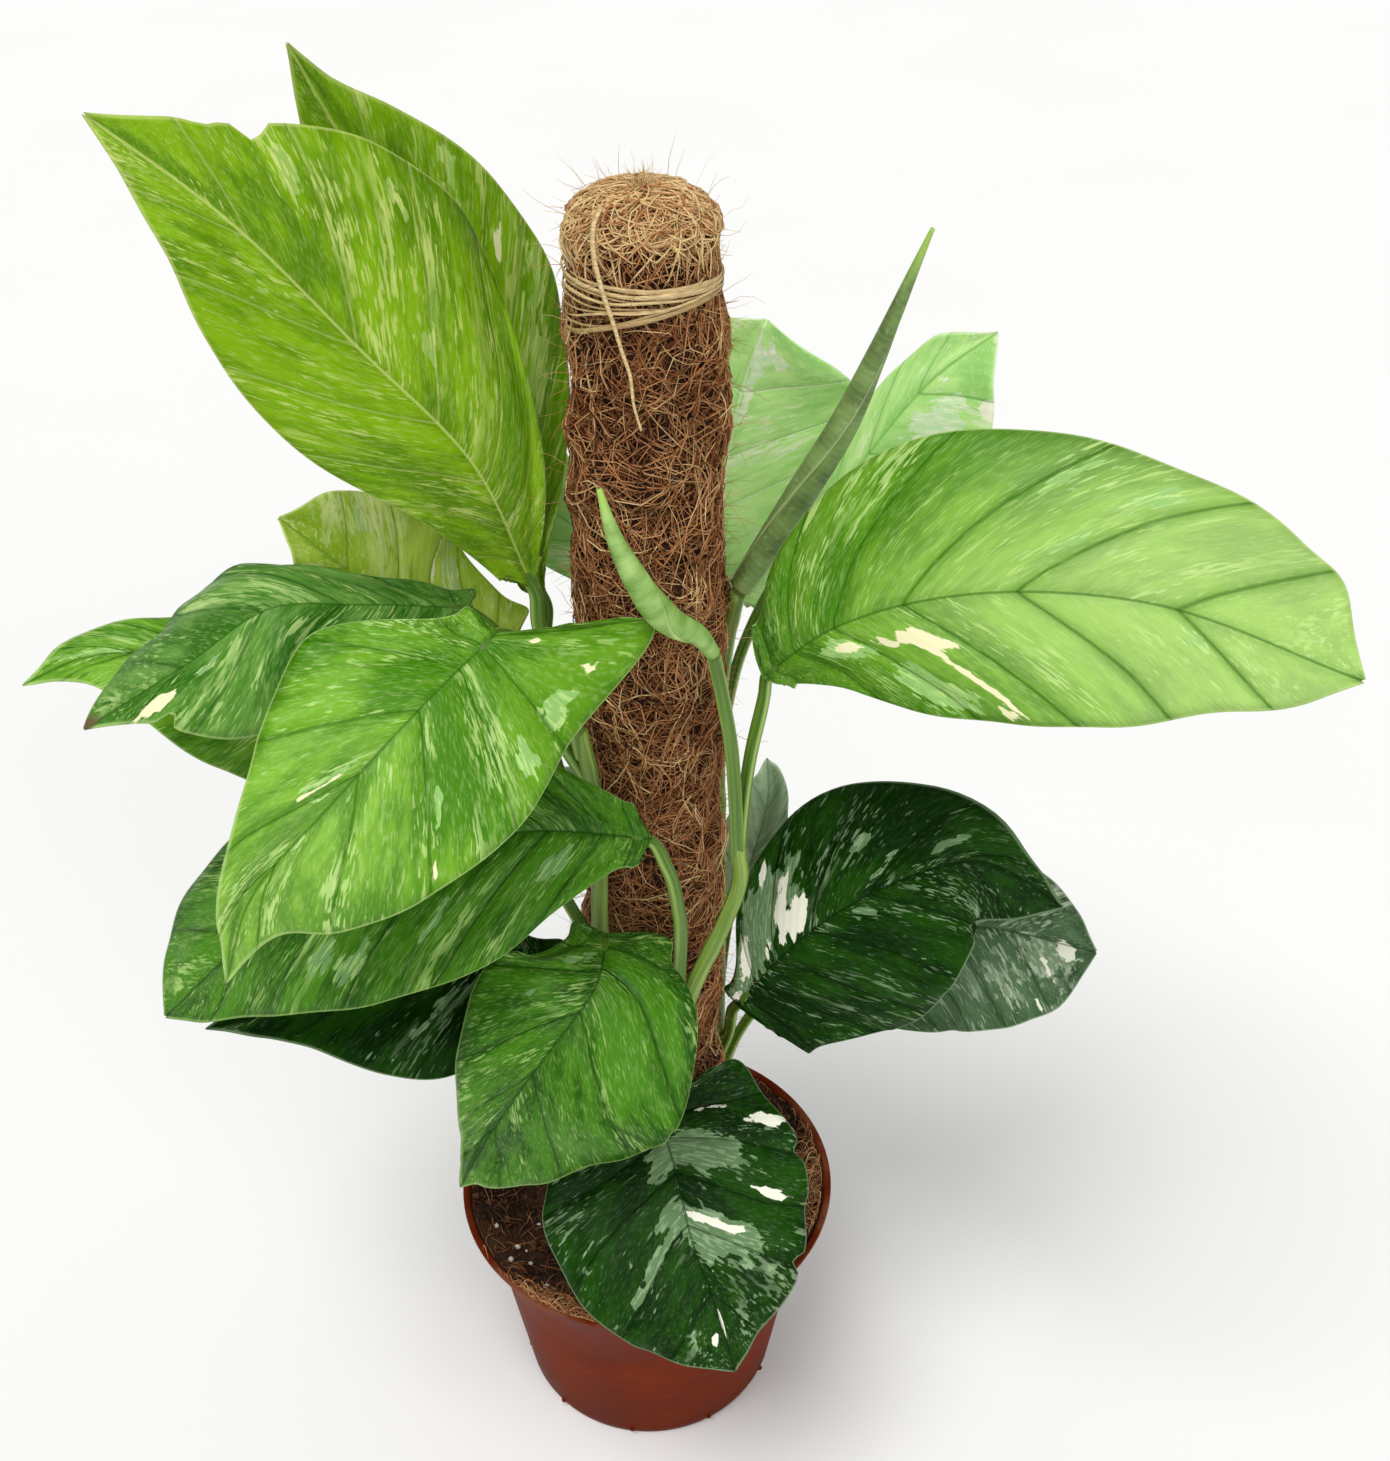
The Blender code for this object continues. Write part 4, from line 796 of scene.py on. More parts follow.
def coir_material():
    """Dry fibre: tint runs from the dark core, painted as the shade deep in the coir, to the golden fibres at
    its top.
    """
    n = Nodes("coir_fibre", roughness=0.8, specular=0.25)
    tint = n.attribute("tint", "Fac")
    place = n.add("NewGeometry").outputs["Position"]
    mottle = n.noise(place, 900.0, 2.0)
    # The darkest brown is painted shade, given to the core beneath the fibres.
    brown = n.mix(n.ramp(tint, 0.0, 0.35), "#281408", "#8c542c")
    brown = n.mix(n.ramp(tint, 0.3, 0.62), brown, "#d09460")
    brown = n.mix(n.ramp(tint, 0.58, 0.95), brown, "#ffe2a4")
    n.colour(n.mix(n.ramp(mottle, 0.3, 0.7, 0.25, 0.0), brown, "#5a3218"))
    n.bump(mottle, 0.0002, 0.3)
    n.shine_through(brown, 0.12)
    return n.material


def cord_material():
    n = Nodes("raffia", roughness=0.6, specular=0.4)
    tint = n.attribute("tint", "Fac")
    place = n.add("NewGeometry").outputs["Position"]
    stretched = n.add("Mapping")
    n.put(stretched.inputs["Vector"], place)
    stretched.inputs["Scale"].default_value = (300, 300, 2600)
    grain = n.noise(stretched.outputs[0], 1.0, 3.0)
    straw = n.mix(tint, "#a88654", "#ecd09a")
    n.colour(n.mix(n.ramp(grain, 0.4, 0.65, 0.5, 0.0), straw, "#86653a"))
    n.bump(grain, 0.0002, 0.5)
    return n.material


def pot_material():
    """Matt nursery-pot plastic, with a fine moulded grain, dust, soil rubbed on the rim, and painted shade
    towards the foot.
    """
    n = Nodes("pot_plastic", roughness=0.5, specular=0.2, ior=1.18)
    place = n.add("NewGeometry").outputs["Position"]
    _, _, height = n.split(place)
    cloud = n.noise(place, 35.0, 4.0, 0.6)
    grain = n.noise(place, 2600.0, 2.0)
    scratch_place = n.add("Mapping")
    n.put(scratch_place.inputs["Vector"], place)
    scratch_place.inputs["Scale"].default_value = (60, 60, 900)
    scratches = n.noise(scratch_place.outputs[0], 1.0, 4.0)
    specks = n.noise(place, 420.0, 3.0)
    plastic = n.mix(n.ramp(cloud, 0.3, 0.7), "#601d04", "#72290a")
    # Painted shade: the plastic darkens towards the foot.
    plastic = n.mix(n.ramp(height, 0.0, 0.05, 0.35, 0.0), plastic, "#471a08")
    plastic = n.mix(n.ramp(scratches, 0.60, 0.72, 0.0, 0.18), plastic, "#9c5539")
    dusty = n.times(n.ramp(height, 0.080, 0.099), n.ramp(cloud, 0.42, 0.62))
    plastic = n.mix(n.times(dusty, 0.35), plastic, "#8a6a4c")
    soiled = n.times(n.ramp(specks, 0.68, 0.73), n.ramp(height, 0.06, 0.099, 0.25, 1.0))
    plastic = n.mix(soiled, plastic, "#3a2416")
    n.colour(plastic)
    n.put(n.shader.inputs["Roughness"], n.ramp(cloud, 0.3, 0.7, 0.40, 0.55))
    n.bump(n.total(n.times(grain, 0.6), n.times(scratches, 0.5)), 0.0002, 0.25)
    return n.material


def soil_material():
    n = Nodes("potting_soil", roughness=0.95, specular=0.2)
    place = n.add("NewGeometry").outputs["Position"]
    cloud = n.noise(place, 90.0, 4.0)
    grain = n.noise(place, 900.0, 4.0, 0.6)
    tint = n.attribute("tint", "Fac")
    brown = n.mix(n.ramp(cloud, 0.35, 0.65), "#1d110a", "#38241a")
    brown = n.mix(n.ramp(grain, 0.5, 0.7), brown, "#5e4230")
    brown = n.mix(tint, brown, "#7a563a")
    n.colour(brown)
    n.bump(grain, 0.0015, 0.8)
    return n.material


def perlite_material():
    n = Nodes("perlite", roughness=0.9, specular=0.3)
    place = n.add("NewGeometry").outputs["Position"]
    grain = n.noise(place, 1800.0, 3.0)
    n.colour(n.mix(n.ramp(grain, 0.35, 0.65), "#b7ab9c", "#f2eee6"))
    n.bump(grain, 0.0004, 0.8)
    return n.material


# Pot and soil

def pot_outside(z):
    """The wall leans out evenly from the foot, then flares to the rim."""
    lean = (POT_FLARE_RADIUS - POT_FOOT_RADIUS) / POT_FLARE_HEIGHT
    share = np.clip((z - POT_FLARE_HEIGHT) / (POT_HEIGHT - POT_FLARE_HEIGHT), 0, 1)
    flare = POT_RIM_RADIUS - POT_LIP - POT_FLARE_RADIUS - lean * (POT_HEIGHT - POT_FLARE_HEIGHT)
    return POT_FOOT_RADIUS + lean * z + flare * share**POT_FLARE_CURVE


def lathe(profile, sides, centre=(0.0, 0.0)):
    """A closed surface of revolution. The profile is radius and height, first and last on the axis."""
    profile = np.array(profile, float)
    turn = 2 * pi * np.arange(sides) / sides
    rings = profile[1:-1]
    around = np.stack([rings[:, :1] * np.cos(turn), rings[:, :1] * np.sin(turn),
                       np.repeat(rings[:, 1:], sides, axis=1)], -1).reshape(-1, 3)
    around[:, :2] += centre
    ends = [(*centre, profile[0, 1]), (*centre, profile[-1, 1])]
    vertices = np.vstack([around, ends])
    foot, head = len(around), len(around) + 1
    k = np.arange(sides)
    n = (k + 1) % sides
    last = (len(rings) - 1) * sides
    triangles = np.concatenate([np.stack([np.full(sides, foot), n, k], -1),
                                np.stack([np.full(sides, head), last + k, last + n], -1)])
    return vertices, grid_faces(len(rings), sides, closed=True), triangles


def rounded(points, radius, steps=4):
    """A profile with each inner corner rounded off."""
    points = np.array(points, float)
    result = [points[0]]
    for before, corner, after in zip(points, points[1:], points[2:]):
        to_before, to_after = before - corner, after - corner
        cut = min(radius, 0.45 * np.linalg.norm(to_before), 0.45 * np.linalg.norm(to_after))
        start = corner + unit(to_before) * cut
        end = corner + unit(to_after) * cut
        for t in np.linspace(0, 1, steps):
            result.append((1 - t) ** 2 * start + 2 * t * (1 - t) * corner + t**2 * end)
    result.append(points[-1])
    return result


def build_pot():
    lip = POT_HEIGHT - POT_LIP_HEIGHT
    walls = np.linspace(0.004, lip, 26)
    profile = [(0, 0), (POT_FOOT_RADIUS - 0.001, 0)]
    profile += [(pot_outside(z), z) for z in walls]
    profile += [(POT_RIM_RADIUS, lip + POT_LIP_BEVEL), (POT_RIM_RADIUS, POT_HEIGHT),
                (pot_outside(POT_HEIGHT) - POT_WALL, POT_HEIGHT)]
    profile += [(pot_outside(z) - POT_WALL, z) for z in walls[::-1]]
    profile += [(pot_outside(POT_FLOOR) - POT_WALL, POT_FLOOR), (0, POT_FLOOR)]
    pot = add_mesh("pot_shell", *lathe(rounded(profile, 0.0007, 3), POT_SIDES))
    for k in range(DRAIN_COUNT):
        a = 2 * pi * (k + 0.5) / DRAIN_COUNT
        centre = (DRAIN_CIRCLE * cos(a), DRAIN_CIRCLE * sin(a))
        below, above = -2 * POT_FLOOR, 2 * POT_FLOOR
        bore = [(0, below), (DRAIN_RADIUS, below), (DRAIN_RADIUS, above), (0, above)]
        hole = add_mesh("hole", *lathe(bore, DRAIN_SIDES, centre))
        cut = pot.modifiers.new("hole", "BOOLEAN")
        cut.object = hole
        bpy.context.view_layer.objects.active = pot
        bpy.ops.object.modifier_apply(modifier=cut.name)
        bpy.data.objects.remove(hole)
    pot.data.set_sharp_from_angle(angle=radians(40))
    dress(pot, pot_material(), "pot", slot="pot")
    parts = []
    for k in range(NUB_COUNT):
        a = 2 * pi * (k + 0.3) / NUB_COUNT
        r = pot_outside(NUB_HEIGHT)
        middle = np.array((r * cos(a), r * sin(a), NUB_HEIGHT))
        parts.append(pebble(middle, (NUB_RADIUS,) * 3, 0.0, k))
    nubs = join_pebbles("pot_nubs", parts)
    dress(nubs, pot.data.materials[0], slot="pot")


def pebble(middle, radii, roughness, seed):
    """A lump: an icosahedron split once, with its corners moved in and out."""
    g = (1 + 5**0.5) / 2
    corners = [(-1, g, 0), (1, g, 0), (-1, -g, 0), (1, -g, 0), (0, -1, g), (0, 1, g),
               (0, -1, -g), (0, 1, -g), (g, 0, -1), (g, 0, 1), (-g, 0, -1), (-g, 0, 1)]
    faces = [(0, 11, 5), (0, 5, 1), (0, 1, 7), (0, 7, 10), (0, 10, 11), (1, 5, 9), (5, 11, 4),
             (11, 10, 2), (10, 7, 6), (7, 1, 8), (3, 9, 4), (3, 4, 2), (3, 2, 6), (3, 6, 8),
             (3, 8, 9), (4, 9, 5), (2, 4, 11), (6, 2, 10), (8, 6, 7), (9, 8, 1)]
    points = [unit(c) for c in corners]
    middles = {}
    split = []

    def between(a, b):
        key = (min(a, b), max(a, b))
        if key not in middles:
            middles[key] = len(points)
            points.append(unit(points[a] + points[b]))
        return middles[key]

    for a, b, c in faces:
        ab, bc, ca = between(a, b), between(b, c), between(c, a)
        split += [(a, ab, ca), (b, bc, ab), (c, ca, bc), (ab, bc, ca)]
    points = np.array(points)
    shift = np.random.default_rng(seed).normal(0, 1, len(points))
    points = points * (1 + roughness * shift)[:, None] * np.array(radii)
    return points + middle, np.array(split)


def join_pebbles(name, parts, **attributes):
    vertices = np.vstack([points for points, _ in parts])
    starts = np.cumsum([0] + [len(points) for points, _ in parts[:-1]])
    triangles = np.vstack([faces + start for (_, faces), start in zip(parts, starts)])
    return add_mesh(name, vertices, (), triangles, **attributes)


def soil_height(x, y):
    """The heaped, lumpy soil that the CAD model has, without its finer crumbs."""
    share = min(1.0, np.hypot(x, y) / (pot_outside(SOIL_LEVEL + SOIL_BANK) - POT_WALL))
    a = np.arctan2(y, x)
    towards_front = max(0.0, cos(a + pi / 2 + SOIL_HEAP_TURN))
    heap = SOIL_HEAP * towards_front**2 * max(0.0, share - SOIL_HEAP_FROM) / (1 - SOIL_HEAP_FROM)
    spot = Vector((cos(a), sin(a), 0)) * share * SOIL_LUMPS_ACROSS
    bank = SOIL_BANK * float(np.clip((share - 0.70) / 0.30, 0, 1)) ** 1.5
    return SOIL_LEVEL + max(heap, bank) + SOIL_LUMP * noise.noise(spot)


def build_soil():
    rings, sides = SOIL_RINGS, SOIL_SIDES
    vertices = []
    for i in range(1, rings + 1):
        share = i / rings
        for k in range(sides):
            a = 2 * pi * k / sides
            level = SOIL_LEVEL + SOIL_BANK * share**4
            r = share * (pot_outside(level) - POT_WALL - SOIL_WALL_GAP)
            x, y = r * cos(a), r * sin(a)
            coarse = 0.0011 * noise.noise(Vector((x, y, 3.0)) * 260)
            fine = 0.0006 * noise.noise(Vector((x, y, 7.0)) * 700)
            vertices.append((x, y, min(soil_height(x, y) + (coarse + fine), POT_HEIGHT + 0.004)))
    bottom = SOIL_LEVEL - SOIL_BED_DEPTH
    for k in range(sides):
        a = 2 * pi * k / sides
        r = pot_outside(bottom) - POT_WALL - SOIL_WALL_GAP
        vertices.append((r * cos(a), r * sin(a), bottom))
    vertices += [(0, 0, soil_height(0, 0)), (0, 0, bottom)]
    k = np.arange(sides)
    n = (k + 1) % sides
    top, foot = (rings + 1) * sides, (rings + 1) * sides + 1
    last = rings * sides
    triangles = np.concatenate([np.stack([np.full(sides, top), k, n], -1),
                                np.stack([np.full(sides, foot), last + n, last + k], -1)])
    tint = [max(0.0, noise.noise(Vector(v) * 60)) * 0.5 for v in vertices]
    quads = grid_faces(rings + 1, sides, closed=True)[:, ::-1]
    soil = add_mesh("soil_bed", vertices, quads, triangles, tint=tint)
    dress(soil, soil_material(), "soil", slot="soil")

    draw = np.random.default_rng(5)
    crumbs = []
    tints = []
    for k in range(SOIL_CRUMBS):
        r = 0.0715 * draw.random() ** 0.5
        a = 2 * pi * draw.random()
        size = 0.0004 + 0.0013 * draw.random() ** 2.5
        middle = np.array((r * cos(a), r * sin(a), 0))
        middle[2] = soil_height(middle[0], middle[1]) + 0.3 * size
        crumbs.append(pebble(middle, size * draw.uniform(0.6, 1.3, 3), 0.16, k))
        tints += [draw.random() ** 2 * 0.8] * len(crumbs[-1][0])
    dress(join_pebbles("soil_crumbs", crumbs, tint=tints), soil.data.materials[0], slot="soil")

    seen = [(-38, -50), (-53, -38), (66, 16), (60, 5), (-60, -22), (-46, -52), (55, 34), (64, -14)]
    grains = []
    for k in range(PERLITE_GRAINS):
        r = 0.069 * draw.random() ** 0.5
        a = 2 * pi * draw.random()
        x, y = (c * MM for c in seen[k]) if k < len(seen) else (r * cos(a), r * sin(a))
        size = draw.uniform(0.0006, 0.0013)
        middle = np.array((x, y, soil_height(x, y) + 0.5 * size))
        grains.append(pebble(middle, size * draw.uniform(0.8, 1.2, 3), 0.10, 1000 + k))
    dress(join_pebbles("perlite_grains", grains), perlite_material(), slot="soil")


def build_soil_fibres():
    """Coir fibres in and on the soil, with a pale mass at the right and one hanging over the front rim."""
    draw = np.random.default_rng(8)
    count = FIBRE_POINTS
    paths, tints, radii = [], [], []
    places = [(None, SOIL_FIBRES, 0.35), ((0.064, -0.004), 420, 0.6), ((-0.026, -0.066), 420, 0.45)]
    for place, many, tint in places:
        for _ in range(many):
            if place is None:
                r = 0.0725 * draw.random() ** 0.5
                a = 2 * pi * draw.random()
                x, y = r * cos(a), r * sin(a)
                spread = 0.0008
            else:
                along = draw.normal(0, 0.014)
                tangent = unit((-place[1], place[0]))
                inward = draw.normal(0, 0.003)
                x, y = np.array(place) + tangent * along - unit(place) * inward
                spread = 0.0026
            heading = 2 * pi * draw.random()
            bend = draw.normal(0, 90)
            step = draw.uniform(0.0008, 0.0024)
            lift = abs(draw.normal(0, spread))
            points = []
            for k in range(count):
                r = np.hypot(x, y)
                if place is None or place[0] > 0:
                    limit = pot_outside(SOIL_LEVEL + SOIL_BANK) - POT_WALL - 0.0010
                else:
                    limit = POT_RIM_RADIUS - 0.0004
                scale = min(1.0, limit / r)
                arch = lift * sin(pi * k / (count - 1)) * 1.3
                ground = soil_height(x * scale, y * scale)
                if place is not None and place[0] < 0 and r > 0.0705:
                    ground = max(ground, POT_HEIGHT + 0.0004)
                points.append((x * scale, y * scale, ground + 0.0002 + arch))
                x += cos(heading) * step
                y += sin(heading) * step
                heading += bend * step
            paths.append(points)
            tints.append(np.clip(draw.normal(tint, 0.16), 0.02, 0.95))
            radii.append(draw.uniform(0.00010, 0.00022))
    shape = np.array(radii)[:, None] * np.array([0.5, 1, 1, 1, 0.9, 0.4])
    vertices, quads, ends = tubes(paths, shape, (0, 0, 1), FIBRE_SIDES)
    tint = repeat_for_tube(tints, count, FIBRE_SIDES)
    fibres = add_mesh("soil_fibres", vertices, quads, ends, tint=tint)
    dress(fibres, bpy.data.materials["coir_fibre"], slot="soil")


# Pole and cord

def pole_radius(angle, z):
    """The lumpy surface of the coir, drawn in where the cord holds it."""
    if z < POLE_LUMPY_FROM:
        return POLE_SHAFT_RADIUS
    grow = min(1.0, (z - POLE_LUMPY_FROM) / (POLE_LUMPY_TO - POLE_LUMPY_FROM))
    narrow = min(1.0, max(0.0, z - POLE_NARROW_FROM) / (POLE_NARROW_TO - POLE_NARROW_FROM))
    spot = Vector((POLE_LUMPS_ROUND * cos(angle), POLE_LUMPS_ROUND * sin(angle), z * POLE_LUMPS_PER_METRE))
    lump = noise.noise(spot) + 0.5 * noise.noise(spot * 2.3 + Vector((7, 3, 1)))
    free = POLE_SHAFT_RADIUS - POLE_NARROWING * narrow + POLE_LUMP * lump * grow
    middle = (CORD_LOW + CORD_HIGH) / 2
    held = float(bell(z - middle, 0.013))
    return free + (CORD_SEAT_RADIUS - 0.0002 - free) * min(1.0, 1.3 * held)


def tuft_swell(angle, z):
    """Rounded tufts of coir with narrow dark valleys between them."""
    grow = min(1.0, max(0.0, (z - POLE_LUMPY_FROM) / (POLE_LUMPY_TO - POLE_LUMPY_FROM)))
    spot = Vector((1.5 * cos(angle) + 5, 1.5 * sin(angle), z * TUFTS_PER_METRE))
    swell = 2.6 * abs(noise.noise(spot)) + 0.9 * abs(noise.noise(spot * 2.1 + Vector((3, 8, 2)))) - 0.75
    middle = (CORD_LOW + CORD_HIGH) / 2
    return TUFT_HEIGHT * min(1.0, swell) * grow * (1 - float(bell(z - middle, 0.012)))


class PoleSurface:
    """The coir's surface by turn and by length from the middle of its top, over the dome and down."""

    def __init__(self):
        self.turns = np.linspace(0, 2 * pi, 145)
        self.heights = np.linspace(0.075, POLE_TOP - POLE_DOME, 420)
        self.radii = np.array([[pole_radius(a, z) + tuft_swell(a, z) for a in self.turns]
                               for z in self.heights])
        shoulder = POLE_SHAFT_RADIUS - POLE_NARROWING
        self.dome_length = 0.5 * pi * np.sqrt((shoulder**2 + POLE_DOME**2) / 2)

    def side_radius(self, turn, z):
        turn = np.mod(turn, 2 * pi)
        column = turn / (2 * pi) * (len(self.turns) - 1)
        low_end, high_end = self.heights[0], self.heights[-1]
        row = np.clip((z - low_end) / (high_end - low_end), 0, 1) * (len(self.heights) - 1)
        i = np.minimum(row.astype(int), len(self.heights) - 2)
        j = np.minimum(column.astype(int), len(self.turns) - 2)
        down, right = row - i, column - j
        top = self.radii[i, j] * (1 - right) + self.radii[i, j + 1] * right
        low = self.radii[i + 1, j] * (1 - right) + self.radii[i + 1, j + 1] * right
        return top * (1 - down) + low * down

    def at(self, turn, length, lift):
        """A point on the surface, raised by lift, and the surface's outward direction."""
        over = np.clip(length / self.dome_length, 0, 1) * pi / 2
        z = np.minimum(POLE_TOP - POLE_DOME, POLE_TOP - POLE_DOME - (length - self.dome_length))
        radius = self.side_radius(turn, z)
        on_dome = length < self.dome_length
        ring = np.where(on_dome, radius * np.sin(over), radius)
        height = np.where(on_dome, POLE_TOP - POLE_DOME + POLE_DOME * np.cos(over), z)
        tip = np.where(on_dome, np.cos(over), 0.0)
        flat = np.where(on_dome, np.sin(over), 1.0)
        out = unit(np.stack([np.cos(turn) * flat, np.sin(turn) * flat, tip], -1))
        place = np.stack([POLE_X + ring * np.cos(turn), ring * np.sin(turn), height], -1)
        return place + out * np.asarray(lift)[..., None], out, ring


def build_pole():
    surface = PoleSurface()
    total = surface.dome_length + POLE_TOP - POLE_DOME - 0.078
    sides = 120
    lengths = np.concatenate([[0.0004], np.linspace(0.002, total, 300)])
    turns = 2 * pi * np.arange(sides) / sides
    turn, length = np.meshgrid(turns, lengths)
    core, _, _ = surface.at(turn, length, np.full(turn.shape, -0.0007))
    quads = grid_faces(len(lengths), sides, closed=True)
    caps = [(0, k, k + 1) for k in range(1, sides - 1)]
    last = (len(lengths) - 1) * sides
    caps += [(last, last + k + 1, last + k) for k in range(1, sides - 1)]
    # Painted shade: the core is tinted near black, as the shade deep between the fibres, a little lighter
    # near the top.
    core_shade_tint = np.clip(0.02 + 3.0 * (core[..., 2].ravel() - 0.480), 0.0, 0.25)
    body = add_mesh("coir_core", core, quads, caps, tint=core_shade_tint)
    dress(body, coir_material(), "coir_pole", slot="coir")

    draw = np.random.default_rng(21)
    points = FIBRE_POINTS

    def lay(name, many, first, last_length, lengths_range, thickness, lift_range, tint_of,
            plane=False, seed=0):
        """Fibres that wander over the surface from random places."""
        start = draw.uniform(first, last_length, many)
        turn = draw.uniform(0, 2 * pi, many)
        swirl = np.array([noise.noise(Vector((cos(a) * 1.7, sin(a) * 1.7, u * 60 + seed)))
                          for a, u in zip(turn, start)])
        heading = 2 * pi * swirl * 1.6 + draw.normal(0, 0.9, many)
        if plane:
            heading = turn + draw.normal(0, 0.8, many)
        bend = draw.normal(0, 170 if plane else 110, many)
        step = draw.uniform(*lengths_range, many) / (points - 1)
        lift = draw.uniform(*lift_range, many)
        sink = draw.uniform(0.0002, 0.0012, many)
        places, outs = [], []
        x, y = start * np.cos(turn), start * np.sin(turn)
        u = start.copy()
        for k in range(points):
            arch = sin(pi * k / (points - 1))
            raised = lift * (0.35 + 0.65 * arch) - sink * (1 - arch)
            if plane:
                u = np.hypot(x, y)
                turn = np.arctan2(y, x)
            place, out, ring = surface.at(turn, np.maximum(u, 0.0005), raised)
            places.append(place)
            outs.append(out)
            if plane:
                x = x + np.cos(heading) * step
                y = y + np.sin(heading) * step
            else:
                turn = turn + np.cos(heading) * step / np.maximum(ring, 0.006)
                u = u + np.sin(heading) * step
            heading = heading + bend * step + draw.normal(0, 0.12, many)
        places, outs = np.stack(places, 1), np.stack(outs, 1)
        places[..., 2] = np.maximum(places[..., 2], 0.080)
        radii = draw.uniform(*thickness, many)[:, None] * np.array([0.6, 1, 1, 1, 0.9, 0.45])
        vertices, quads, ends = tubes(places, radii, outs, FIBRE_SIDES)
        tint = tint_of(places[:, points // 2], draw, many)
        obj = add_mesh(name, vertices, quads, ends, tint=repeat_for_tube(tint, points, FIBRE_SIDES))
        return dress(obj, body.data.materials[0], slot="coir")

    def side_tint(middle, rng, many):
        angle = np.arctan2(middle[:, 1], middle[:, 0] - POLE_X)
        radius = np.hypot(middle[:, 1], middle[:, 0] - POLE_X)
        lump = (radius - POLE_SHAFT_RADIUS) / POLE_LUMP
        patch = np.array([noise.noise(Vector((cos(a) * 2, sin(a) * 2, z * 45)))
                          for a, z in zip(angle, middle[:, 2])])
        gold = np.clip((middle[:, 2] - 0.470) / 0.030, 0, 1)
        # Painted light and shade: fibres out on the lumps are lighter, those in the hollows darker.
        tint = 0.47 + 0.05 * lump + 0.12 * patch + 0.25 * gold + rng.normal(0, 0.20, many)
        return np.clip(tint, 0.02, 1.0)

    def top_tint(middle, rng, many):
        return np.clip(rng.normal(0.84, 0.20, many), 0.25, 1.0)

    start = surface.dome_length
    half = COIR_FIBRES // 2
    side = (COIR_FIBRE_LENGTHS, COIR_FIBRE_RADII, COIR_FIBRE_LIFTS, side_tint)
    lay("coir_fibres_upper", half, start - 0.004, start + 0.20, *side, seed=3)
    lay("coir_fibres_lower", half, start + 0.19, total - 0.004, *side, seed=9)
    lay("coir_fibres_top", COIR_TOP_FIBRES, 0.0, 0.023, (0.010, 0.026), (0.00018, 0.00042),
        (0.0003, 0.0026), top_tint, plane=True, seed=15)
    build_hairs(surface, body.data.materials[0], total)


def build_hairs(surface, material, total):
    """Loose ends that stand out of the coir, and a tuft at the middle of its top."""
    draw = np.random.default_rng(33)
    points = HAIR_POINTS
    many = COIR_HAIRS
    turn = draw.uniform(0, 2 * pi, many)
    length = surface.dome_length * 0.3 + (total - surface.dome_length * 0.3 - 0.01) * draw.random(many)
    place, out, _ = surface.at(turn, length, np.full(many, -0.0004))
    size = 0.004 + 0.015 * draw.random(many) ** 2
    lean = unit(draw.normal(0, 1, (many, 3)))
    heading = unit(out * draw.uniform(0.35, 0.9, many)[:, None] + lean * 0.7)
    tint = np.clip(draw.normal(0.62, 0.16, many) + 0.25 * (place[:, 2] > 0.47), 0.2, 1.0)

    tuft = 60
    place[:tuft] = np.array((POLE_X, 0, POLE_TOP - 0.001)) + draw.normal(0, 0.0020, (tuft, 3)) * (1, 1, 0)
    out[:tuft] = (0, 0, 1)
    heading[:tuft] = unit(np.array((0, 0, 1)) + draw.normal(0, 0.30, (tuft, 3)))
    size[:tuft] = draw.uniform(0.004, 0.010, tuft)
    tint[:tuft] = 0.85

    paths = []
    for _ in range(points):
        paths.append(place)
        place = place + heading * (size / (points - 1))[:, None]
        heading = unit(heading + draw.normal(0, 0.22, (many, 3)))
    paths = np.stack(paths, 1)
    up = unit(np.cross(unit(np.gradient(paths, axis=1)), (0.31, 0.21, 0.93)))
    radii = draw.uniform(0.00007, 0.00012, many)[:, None] * np.array([1, 1, 0.9, 0.7, 0.35])
    vertices, quads, ends = tubes(paths, radii, up, FIBRE_SIDES)
    tint = repeat_for_tube(tint, points, FIBRE_SIDES)
    hairs = add_mesh("coir_hairs", vertices, quads, ends, tint=tint)
    dress(hairs, material, slot="coir")


def build_cord():
    """Flat strands wound round the top, gathered at the right, and one loose strand down the front."""
    draw = np.random.default_rng(12)
    points = 160
    material = cord_material()
    paths, outs, widths, tints = [], [], [], []
    gather = radians(-24)
    for k in range(CORD_STRANDS):
        share = k / (CORD_STRANDS - 1)
        turn = gather + np.linspace(0, 2 * pi, points)
        sag = 0.5 - 0.5 * np.cos(turn - gather)
        wander = np.array([noise.noise(Vector((cos(a), sin(a), 3.1 * k))) for a in turn])
        height = 0.4790 + 0.0035 * share - (0.0125 - 0.0175 * share) * sag + 0.0022 * wander
        reach = CORD_SEAT_RADIUS + 0.0015 + 0.0006 * draw.random() + 0.0007 * wander
        paths.append(np.stack([POLE_X + reach * np.cos(turn), reach * np.sin(turn), height], -1))
        outs.append(np.stack([np.cos(turn), np.sin(turn), 0.4 * wander], -1))
        widths.append(draw.uniform(0.00025, 0.00085) * (1 + 0.5 * wander))
        tints.append(draw.uniform(0.2, 1.0))
    loose = [(-6.5, -13.8, 504.9), (-8.4, -18.6, 501.4), (-8.5, -22.4, 496), (-6.5, -24.2, 486),
             (-3.5, -24.6, 476), (-1, -25.0, 467), (1, -26.2, 461), (2, -26.9, 452), (4, -27.0, 444)]
    line = path_points(loose, points)
    paths.append(line)
    axis = np.array((POLE_X, 0.0, 0.0))
    outs.append(unit(line - axis - np.array((0, 0, 1)) * line[:, 2:] * 0.98))
    widths.append(np.linspace(0.0010, 0.00040, points))
    tints.append(0.95)
    vertices, quads, ends = tubes(np.array(paths), np.array(widths), np.array(outs), 6, flat=0.4)
    cord = add_mesh("raffia_tie", vertices, quads, ends, tint=repeat_for_tube(tints, points, 6))
    dress(cord, material, "cord", slot="cord")


# Plant

